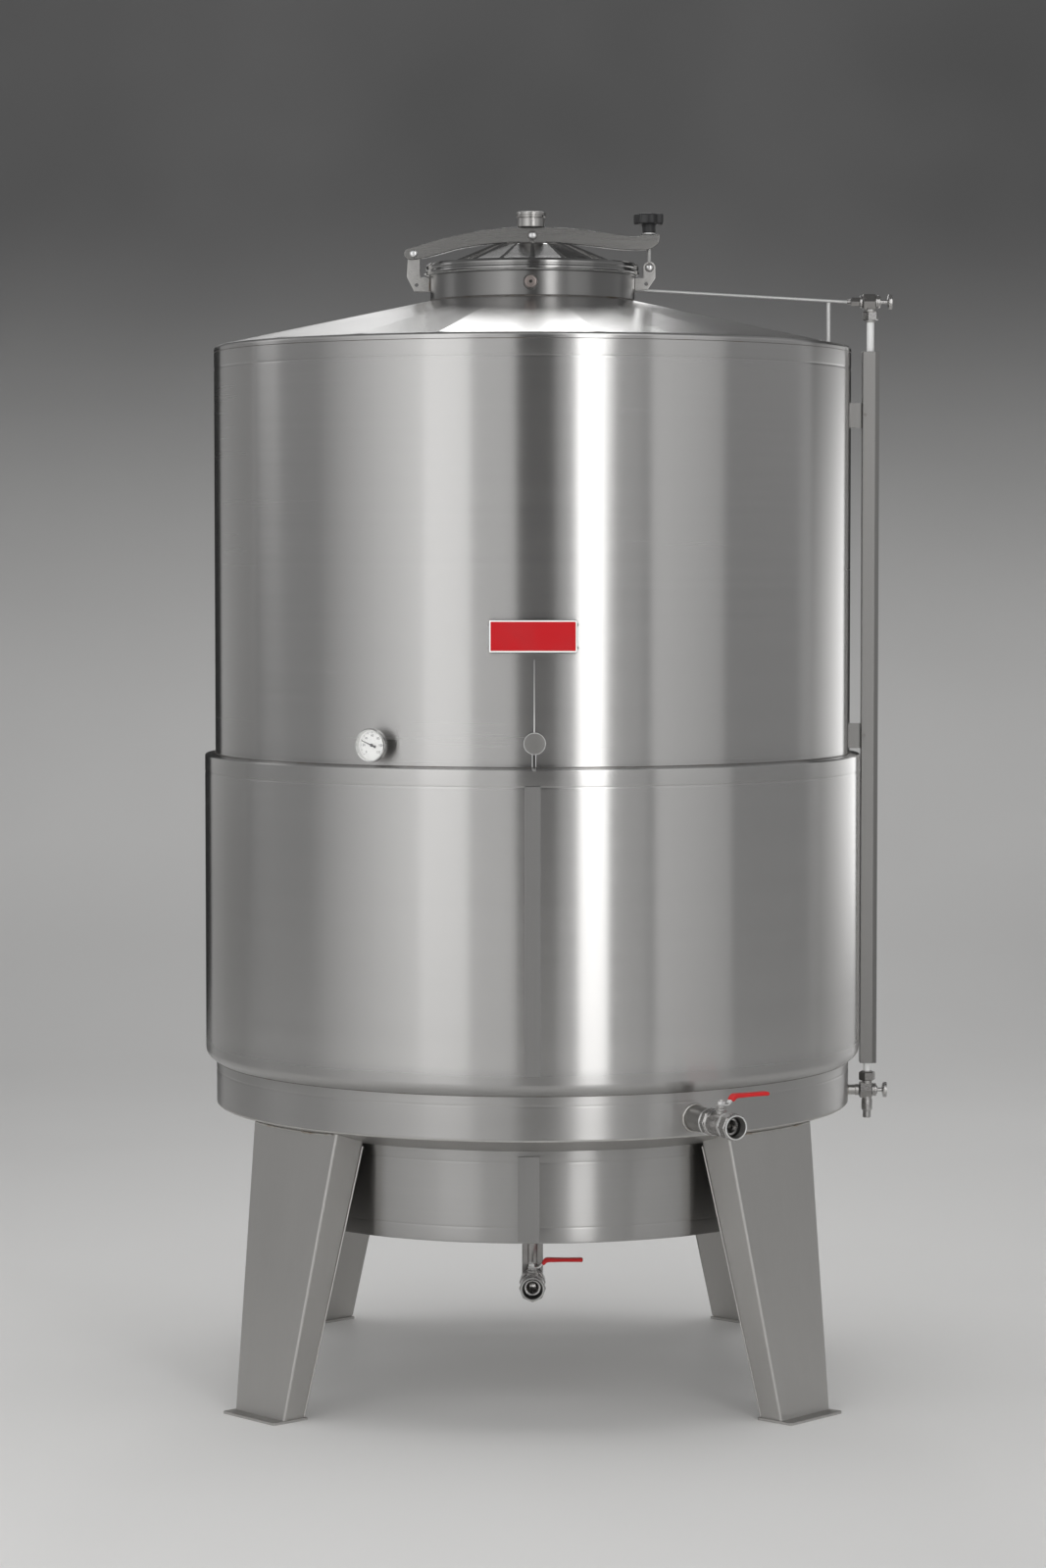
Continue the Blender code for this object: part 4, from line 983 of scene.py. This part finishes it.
def valve_pieces(prefix, place, inlet, outlet):
    """A ball valve's body, bonnet, lever, grip and ball; flow along the place's -Y, stem along its Z."""
    lay = place @ lying()
    bore = 0.0125
    barrel = [(bore, -inlet), (0.0235, -inlet), (0.0235, -inlet + 0.017), (0.0215, -inlet + 0.0195),
              (0.022, -0.012), (0.0228, 0.0), (0.022, 0.012), (0.0215, outlet - 0.0265),
              (0.0228, outlet - 0.0245), (0.0228, outlet - 0.001), (0.0203, outlet - 0.001),
              (0.0203, outlet - 0.02), (bore, outlet - 0.021)]
    put(prefix + "_valve_barrel", spun(barrel, 48), "brass_nickel", prefix + "_valve", at=lay)
    thread = [(0.0202, outlet - 0.0012), (0.0202, outlet - 0.019), (0.016, outlet - 0.0195)]
    for k in reversed(range(8)):
        thread += [(0.0182, outlet - 0.0026 - 0.0018 * k), (0.0194, outlet - 0.0017 - 0.0018 * k)]
    put(prefix + "_valve_thread", spun(thread, 48), "bore_shadow", at=lay)
    for name, start, wide, out, within, edge, look in (
            ("ring", -inlet - 0.0002, 0.0034, 0.0258, 0.021, 0.0008, "pin_steel"),
            ("band", outlet - 0.0345, 0.008, 0.0243, 0.021, 0.0008, "pin_steel"),
            ("lip", outlet - 0.0026, 0.0026, 0.0234, 0.0206, 0.0011, "seam_steel")):
        end = start + wide
        hoop = spun([(within + edge, start), (out - edge, start), (out, start + edge), (out, end - edge),
                     (out - edge, end), (within + edge, end), (within, end - edge), (within, start + edge)],
                     64)
        put(prefix + "_valve_" + name, hoop, look, at=lay)
    r = 0.0245 / cos(pi / 8)
    for name, start, end in (("inlet", -inlet + 0.003, -inlet + 0.018),
                             ("outlet", outlet - 0.0255, outlet - 0.004)):
        ring = spun([(0.0225, start + 0.0005), (r - 0.0012, start + 0.0005), (r, start + 0.002),
                     (r, end - 0.002), (r - 0.0012, end - 0.0005), (0.0225, end - 0.0005)], 8)
        put(prefix + "_valve_" + name, ring, "brass_nickel", at=lay, smooth=20.0)
    bonnet = rod([(0.011, 0.018), (0.011, 0.025), (0.0095, 0.0262), (0.0095, 0.03), (0.008, 0.0312),
                  (0.008, 0.0345)])
    put(prefix + "_bonnet", bonnet, "brass_nickel", at=place)
    body, low, thick, half = prefix + "_lever", 0.0348, 0.0026, 0.0065
    bar = [(-0.009, low), (0.012, low), (0.0165, low + 0.003), (0.0245, low + 0.013), (0.03, low + 0.0152),
           (0.098, low + 0.0157), (0.098, low + 0.0157 + thick), (0.029, low + 0.0152 + thick),
           (0.023, low + 0.013 + thick), (0.015, low + 0.003 + thick), (0.011, low + thick),
           (-0.009, low + thick)]
    put(prefix + "_handle", soften(drawn(bar, -half, half), 0.0006, 2, 50.0), "pin_steel", body, at=place,
        body=body)
    nut = joined(hex_bar([(0.006, low + thick), (0.0065, low + thick + 0.0006), (0.0065, low + 0.0085),
                          (0.0058, low + 0.0092)]), rod([(0.004, low + 0.001), (0.004, low + 0.0112)]))
    put(prefix + "_stem_nut", nut, "pin_steel", at=place, body=body)
    sleeve = [(0.0178, 0.0098), (0.0196, 0.013), (0.0226, 0.0176), (0.0262, 0.02), (0.03, 0.0208),
              (0.062, 0.0202), (0.0985, 0.0206), (0.101, 0.0188), (0.101, 0.015), (0.0985, 0.0134),
              (0.062, 0.0136), (0.033, 0.0128), (0.0282, 0.0116), (0.0246, 0.0082), (0.0222, 0.0062)]
    grip = soften(drawn([(a, low + b) for a, b in sleeve], -half - 0.0024, half + 0.0024), 0.0019, 3, 40.0)
    put(prefix + "_sleeve", grip, "red_plastic", prefix + "_grip", at=place, body=body)
    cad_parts[prefix + "_ball"].data.materials.clear()
    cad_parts[prefix + "_ball"].data.materials.append(finish("cock_nickel"))


class BuildSideOutlet(bpy.types.Operator):
    """Side outlet: socket with its weld, ball valve and red lever"""
    bl_idname = "tank.side_outlet"
    bl_label = "Side Outlet"

    def execute(self, context):
        tank = context.scene.tank_looks
        turn = swing(SIDE_TURN)
        z = 0.587
        socket = [(0.0235, 0.63), (0.0235, 0.6885), (0.0225, 0.6897), (0.0165, 0.6897), (0.0165, 0.63)]
        put("side_pipe", spun(socket, 48), "channel_steel", "side_socket",
            at=turn @ lying(0, 0, z))
        ring = [(a, -sqrt(SHELL_R ** 2 - a ** 2) - 0.001, b) for a, b in circle(0, z, 0.0253, 60)]
        bead = tube_along(ring, lambda i: tank.bead * (1.7 + 0.25 * sin(i * 2.3)), 8, True)
        put("side_weld", bead, "weld_steel", at=turn)
        valve_pieces("side", turn @ Matrix.Translation((0, -0.732, z)), 0.042, 0.054)
        return {"FINISHED"}


class BuildDrain(bpy.types.Operator):
    """Bottom drain: pipe with its elbow, ball valve and red lever"""
    bl_idname = "tank.drain"
    bl_label = "Drain"

    def execute(self, context):
        z, bend, r = 0.184, 0.036, 0.0213
        points = [(0, 0, 0.356), (0, 0, 0.3), (0, 0, z + bend + 0.001)]
        for k in range(1, 12):
            t = pi / 2 * k / 12
            points.append((0, bend * (cos(t) - 1), z + bend * (1 - sin(t))))
        points += [(0, -bend - 0.001, z), (0, -bend - 0.004 + GAP, z)]
        put("drain_elbow", tube_along(points, r, 40), "cock_nickel", "drain_pipe")
        put("drain_weld", ring_bead(r + 0.0008, 0.3452, 0.0017, 60, 0.3), "weld_steel")
        valve_pieces("drain", Matrix.Translation((0, -0.085, z)), 0.045, 0.047)
        return {"FINISHED"}


class BuildThermometer(bpy.types.Operator):
    """Dial thermometer with its printed scale, pointer and glass"""
    bl_idname = "tank.thermometer"
    bl_label = "Thermometer"

    def execute(self, context):
        place = swing(DIAL_TURN) @ lying(0, -0.655, 1.291)
        case = [(0.008, -0.019), (0.008, 0.0), (0.0285, 0.0), (0.0308, 0.0012), (0.0315, 0.003),
                (0.0315, 0.012), (0.031, 0.0136), (0.03, 0.0142), (0.029, 0.0138), (0.0288, 0.002)]
        put("dial_bezel", spun([(0.0, -0.019)] + case + [(0.0, 0.002)], 96, False), "mirror_steel",
            "dial_case", at=place)
        put("dial_card", rod([(0.0287, 0.0023), (0.0287, 0.0033)], 96), "white_enamel", "dial_face",
            at=place)
        put("dial_window", rod([(0.0287, 0.011), (0.0287, 0.0125)], 96), "dial_pane", "dial_glass",
            at=place)
        marks = []
        for k in range(61):
            inner, wide = (0.0222, 0.0003) if k % 5 == 0 else (0.024, 0.00014)
            marks.append(moved(slab((inner, -wide, 0.0033), (0.0258, wide, 0.0035)),
                               swing(225 - 270 * k / 60)))
        for k, (x, y) in enumerate(arc(0, 0, 0.018, 225, -45, 6)):
            marks.append(moved(lettered(str(20 * k), 0.0062), Matrix.Translation((x, y, 0.0033))))
        put("dial_print", joined(*marks), "black_print", at=place)
        needle = [(-0.0096, -0.0024), (-0.0062, -0.0024), (-0.0036, -0.0012), (0.0225, -0.0005),
                  (0.0225, 0.0005), (-0.0036, 0.0012), (-0.0062, 0.0024), (-0.0096, 0.0024)]
        hub = rod([(0.003, 0.0056), (0.003, 0.0072), (0.002, 0.0076)])
        bm = joined(moved(drawn(needle, 0.006, 0.0068, "XY"), swing(POINTER_TURN)), hub)
        put("dial_needle", bm, "black_print", "dial_pointer", at=place, body="dial_pointer")
        return {"FINISHED"}


def lettered(words, size):
    """Plain figures as a thin mesh, centred on the origin."""
    curve = bpy.data.curves.new("figures", "FONT")
    curve.body, curve.size, curve.extrude = words, size, 0.0001
    curve.align_x, curve.align_y = "CENTER", "CENTER"
    curve.resolution_u = 3
    thing = linked("figures", curve)
    bpy.context.view_layer.update()
    mesh = bpy.data.meshes.new_from_object(thing.evaluated_get(bpy.context.evaluated_depsgraph_get()))
    bm = bmesh.new()
    bm.from_mesh(mesh)
    bpy.data.objects.remove(thing)
    bpy.data.curves.remove(curve)
    bpy.data.meshes.remove(mesh)
    return bm


class BuildPlates(bpy.types.Operator):
    """Bare nameplate on its studs, and the small disc with its channel"""
    bl_idname = "tank.plates"
    bl_label = "Plates"

    def execute(self, context):
        w, h, z, front, x = 0.0822, 0.0302, 1.495, -0.6415, 0.0012

        def upright(e):
            return abs(e.verts[0].co.x - e.verts[1].co.x) + abs(e.verts[0].co.z - e.verts[1].co.z) < 1e-6

        layers = (("plate_sheet", 0.0, 0.0004, 0.002, "channel_steel", "brushed_steel", "name_plate"),
                  ("plate_border", 0.0007, 0.0001, 0.0006, "white_enamel", "white_enamel", ()),
                  ("plate_field", 0.0034, -0.0001, 0.0004, "red_enamel", "red_enamel", ()))
        for name, inset, near, far, look, slot, node in layers:
            sheet = slab((x - w + inset, front + near, z - h + inset),
                         (x + w - inset, front + far, z + h - inset))
            put(name, soften(sheet, 0.0012, 3, 30.0, upright), look, node)
        for side in (-1, 1):
            label = "right" if side > 0 else "left"
            stud = rod([(0.003, 0.0), (0.003, 0.015)], 24)
            place = Matrix.Translation((side * 0.074, -0.6395, z)) @ Matrix.Rotation(radians(-90), 4, "X")
            put("plate_stud_" + label, stud, "satin_steel", at=place)
            for step, part in ((-1, "low"), (1, "top")):
                clip = slab((x + side * w - 0.0022, front + 0.0012, z + step * 0.0215 - 0.0028),
                            (x + side * w + 0.0022, front + 0.0062, z + step * 0.0215 + 0.0028))
                put("plate_clip_%s_%s" % (label, part), soften(clip, 0.0009), "channel_steel")
        wall = -SHELL_R - GAP
        spot = lying(0.004, wall - 0.001, 1.296)
        cap = rod([(0.0196, 0.0), (0.0204, 0.0006), (0.0204, 0.0036), (0.0198, 0.004)], 64)
        put("disc_cap", cap, "channel_steel", "disc_plug", at=spot)
        rim = [(a, b, 0.0037) for a, b in circle(0, 0, 0.0199, 72)]
        put("disc_rim", tube_along(rim, 0.0006, 8, True), "seam_steel", at=spot)
        for name, at in (("left", -0.0003), ("right", 0.006)):
            rail = soften(slab((at - 0.0008, wall - 0.0045, 1.2522), (at + 0.0008, wall, 1.277)), 0.0003)
            put("duct_rail_" + name, rail, "pin_steel")
        floor = slab((0.0006, wall - 0.0012, 1.2524), (0.0051, wall, 1.277))
        put("duct_floor", soften(floor, 0.0003), "bore_shadow")
        smear = lump((0.003, -JACKET_R + 0.0012, 1.2475), (0.0042, 0.0014, 0.0036),
                     lambda p: 0.25 * sin(p.x * 5.0 + 0.7) * sin(p.z * 4.0))
        put("duct_sealant", smear, "strip_steel")
        return {"FINISHED"}


# Heights of the tall lamps' lower and upper edges
FULL = (0.15, 6.2)
# Soft lamps round the tank: turns in degrees, heights, glow at the first and the last turn, distance
LAMPS = {
    "key_strip": ((14.7, 24.0), FULL, (2.6, 2.6), 5.0),
    "key_side": ((24.0, 27.0), (2.1, 6.2), (2.4, 2.4), 5.0),
    "key_tail": ((27.0, 37.0), FULL, (0.24, 0.17), 5.0),
    "key_edge": ((8.0, 14.7), FULL, (0.06, 0.42), 5.0),
    "left_fill": ((-20.5, -3.5), FULL, (0.4, 0.4), 5.0),
    "left_bank": ((-36.0, -20.5), FULL, (1.06, 0.92), 5.0),
    "left_wide": ((-78.0, -36.0), FULL, (0.0, 0.84), 5.0),
    "right_soft": ((40.0, 68.0), FULL, (0.46, 0.22), 5.0),
    "right_rim": ((104.0, 150.0), (0.5, 2.2), (0.05, 1.35), 5.0),
    "left_high": ((-110.0, -98.0), (2.4, 4.4), (0.55, 0.55), 5.0),
    "left_far": ((-146.0, -112.0), (0.9, 4.4), (0.18, 0.22), 5.0),
    "roof_bank": ((174.9, 184.0), (2.7, 6.9), (4.0, 4.0), 6.0),
    "roof_second": ((185.9, 191.4), (2.6, 6.0), (1.2, 0.8), 6.0),
    "roof_third": ((193.2, 195.5), (2.4, 5.6), (0.8, 0.7), 6.0),
    "roof_fourth": ((197.6, 201.0), (2.3, 5.0), (0.6, 0.5), 6.0),
}
# Plain soft lamps: place, aim, size, glow and spread in degrees
SOFT_LAMPS = {
    "top_soft": ((0, 0.3, 5.6), (0, 0, 0), (5.0, 3.4), 0.55, 75.0),
    "front_soft": ((-1.6, -5.0, 2.6), (0, 0, 1.4), (1.5, 1.5), 10.0, 180.0),
    "back_wash": ((0, 3.2, 5.6), (0, 8.2, 1.8), (9.0, 1.6), 2.5, 180.0),
}
# Dark cloths that the steel reflects: left and right edge, distance, top, turn in degrees and tone
FLAGS = {
    "front": (-0.42, 0.62, -4.62, 6.6, 0.0, 0.24),
    "left": (-0.85, 1.35, -4.82, 2.75, -162.0, 0.03),
    "right": (-0.85, 0.72, -4.82, 2.75, 161.0, 0.03),
}
# Camera: its distance, height and pitch down, then its focal length and image middle in pixels of the photo
CAMERA_AWAY, CAMERA_Z, CAMERA_PITCH = 8.168, 1.645, 0.0562
CAMERA_FOCUS, CAMERA_MIDDLE, PHOTO_WIDE, PHOTO_TALL = 4150.7, 543.2, 1067, 1600.0


def area_lamp(name, size, glow):
    """A rectangular lamp whose face glows with this radiance."""
    light = bpy.data.lights.new(name, "AREA")
    light.shape, light.size, light.size_y = "RECTANGLE", *size
    light.energy = pi * size[0] * size[1] * glow
    return linked(name, light)


def lamp(name, turns, heights, glows, away):
    """A soft lamp that faces the tank between two turns and two heights, with a glow for each side."""
    first, last = (radians(t) for t in turns)
    low, high = heights
    mid = (first + last) / 2
    thing = area_lamp(name, (2 * away * tan((last - first) / 2), high - low), 1.0)
    thing.data.use_nodes = True
    nodes = Nodes(thing.data.node_tree)
    place = nodes.node("ShaderNodeNewGeometry", None, None, "Parametric")
    across = nodes.node("ShaderNodeSeparateXYZ", None, {0: place}, "X")
    glow = nodes.node("ShaderNodeMapRange", None, {"Value": across, "To Min": glows[0], "To Max": glows[1]})
    nodes.feed(nodes.tree.nodes["Emission"].inputs["Strength"], glow)
    thing.location = HOME + Vector((away * sin(mid), -away * cos(mid), (low + high) / 2))
    thing.rotation_euler = (pi / 2, 0, mid)


def studio_sheet():
    """Pale floor that curves up into a darker backdrop, and that isn't seen from behind."""
    bend, start, width, top = 4.0, 4.5, 16.0, 9.0
    sweep = [(-width, 0.0)] + [(start + bend * sin(t), bend - bend * cos(t))
                               for t in (pi / 2 * k / 24 for k in range(25))] + [(start + bend, top)]
    bm = bmesh.new()
    points = [bm.verts.new((-width, y, z)) for y, z in sweep]
    edges = [bm.edges.new(pair) for pair in zip(points, points[1:])]
    made = bmesh.ops.extrude_edge_only(bm, edges=edges)["geom"]
    bmesh.ops.translate(bm, vec=(2 * width, 0, 0),
                        verts=[v for v in made if isinstance(v, bmesh.types.BMVert)])
    bm.normal_update()
    bmesh.ops.reverse_faces(bm, faces=[face for face in bm.faces if face.normal.z - face.normal.y < 0])
    paper = Finish("floor_paper", (0.72, 0.715, 0.705), 0.0, 0.8)
    cloud = paper.noise((0.8, 0.8, 0.8), 2.0)
    height = paper.node("ShaderNodeSeparateXYZ", None, {0: paper.place()}, 2)
    shade = height.spread(0.4, 3.2) * 0.9 + (cloud - 0.5) * 0.12
    behind = paper.node("ShaderNodeNewGeometry", None, None, "Backfacing")
    tone = paper.tint(shade.clamped(0.0, 1.0), (0.045, 0.045, 0.046))
    floor = linked("studio_floor", meshed("studio_floor", bm))
    floor.data.shade_smooth()
    floor.data.materials.append(paper.drive(base_color=tone, alpha=1.0 - behind))


class BuildStudio(bpy.types.Operator):
    """Pale floor and backdrop, soft lights and the camera"""
    bl_idname = "tank.studio"
    bl_label = "Studio"

    def execute(self, context):
        scene = bpy.context.scene
        studio_sheet()
        for name, (left, right, y, top, turn, tone) in FLAGS.items():
            sheet = moved(slab((left, y, 0.1), (right, y + 0.02, top)),
                          Matrix.Translation(HOME) @ swing(turn))
            cloth = Finish("cloth_" + name, (tone, tone, tone), 0.0, 0.9)
            weave = cloth.noise((300.0, 300.0, 300.0), 1.0)
            flag = linked("studio_flag_" + name, meshed("studio_flag_" + name, sheet))
            flag.data.materials.append(cloth.drive(base_color=cloth.tint(weave, dimmed(cloth.color, 0.7))))
            flag.visible_camera = False
            flag.visible_diffuse = flag.visible_shadow = name == "front"
        world = bpy.data.worlds.new("studio_air")
        world.use_nodes = True
        air = Nodes(world.node_tree)
        way = air.node("ShaderNodeTexCoord", None, None, "Generated")
        height = air.node("ShaderNodeSeparateXYZ", None, {0: way}, "Z")
        fade = air.node("ShaderNodeMapRange", None, {"Value": height, "From Min": 0.4, "From Max": 0.8,
                                                     "To Min": 0.36, "To Max": 0.16})
        background = air.tree.nodes["Background"]
        air.feed(background.inputs["Strength"], fade)
        air.feed(background.inputs["Color"], (1.0, 1.004, 1.012, 1.0))
        scene.world = world
        for name, values in LAMPS.items():
            lamp(name, *values)
        for name, (spot, aim, size, glow, cone) in SOFT_LAMPS.items():
            thing = area_lamp(name, size, glow)
            thing.data.spread = radians(cone)
            thing.data.use_shadow = name != "front_soft"
            thing.visible_glossy = name == "back_wash"
            thing.location = HOME + Vector(spot)
            thing.rotation_euler = (Vector(aim) - Vector(spot)).to_track_quat("-Z", "Y").to_euler()
        camera = linked("photo_camera", bpy.data.cameras.new("photo_camera"))
        camera.data.sensor_fit = "AUTO"
        camera.data.sensor_width = 36.0
        camera.data.lens = camera.data.sensor_width * CAMERA_FOCUS / PHOTO_TALL
        camera.data.shift_x = (PHOTO_WIDE / 2 - CAMERA_MIDDLE) / PHOTO_TALL
        camera.data.clip_end = 60.0
        camera.location = HOME + Vector((0, -CAMERA_AWAY, CAMERA_Z))
        camera.rotation_euler = (pi / 2 - CAMERA_PITCH, 0, 0)
        scene.camera = camera
        scene.view_settings.view_transform = "Standard"
        return {"FINISHED"}


class TANK_PT_pieces(bpy.types.Panel):
    """Lists the tank's pieces in the 3D view's sidebar"""
    bl_idname = "TANK_PT_pieces"
    bl_label = "Tank"
    bl_space_type = "VIEW_3D"
    bl_region_type = "UI"
    bl_category = "Tank"

    def draw(self, context):
        column = self.layout.column()
        tank = context.scene.tank_looks
        for name in tank.bl_rna.properties.keys():
            if name not in {"rna_type", "name"}:
                column.prop(tank, name)
        for piece in PIECES:
            column.operator(piece.bl_idname)


PIECES = (BuildShell, BuildRoof, BuildNeck, BuildLid, BuildArm, BuildBrackets, BuildClampScrew, BuildJacket,
          BuildCasing, BuildLegs, BuildGauge, BuildSideOutlet, BuildDrain, BuildThermometer, BuildPlates,
          BuildStudio)
CLASSES = (TankLooks, *PIECES, TANK_PT_pieces)


def register():
    for each in CLASSES:
        bpy.utils.register_class(each)
    bpy.types.Scene.tank_looks = PointerProperty(type=TankLooks)


def unregister():
    del bpy.types.Scene.tank_looks
    for each in reversed(CLASSES):
        bpy.utils.unregister_class(each)


def main():
    register()
    for piece in PIECES:
        group, name = piece.bl_idname.split(".")
        getattr(getattr(bpy.ops, group), name)()


if __name__ == "__main__":
    main()
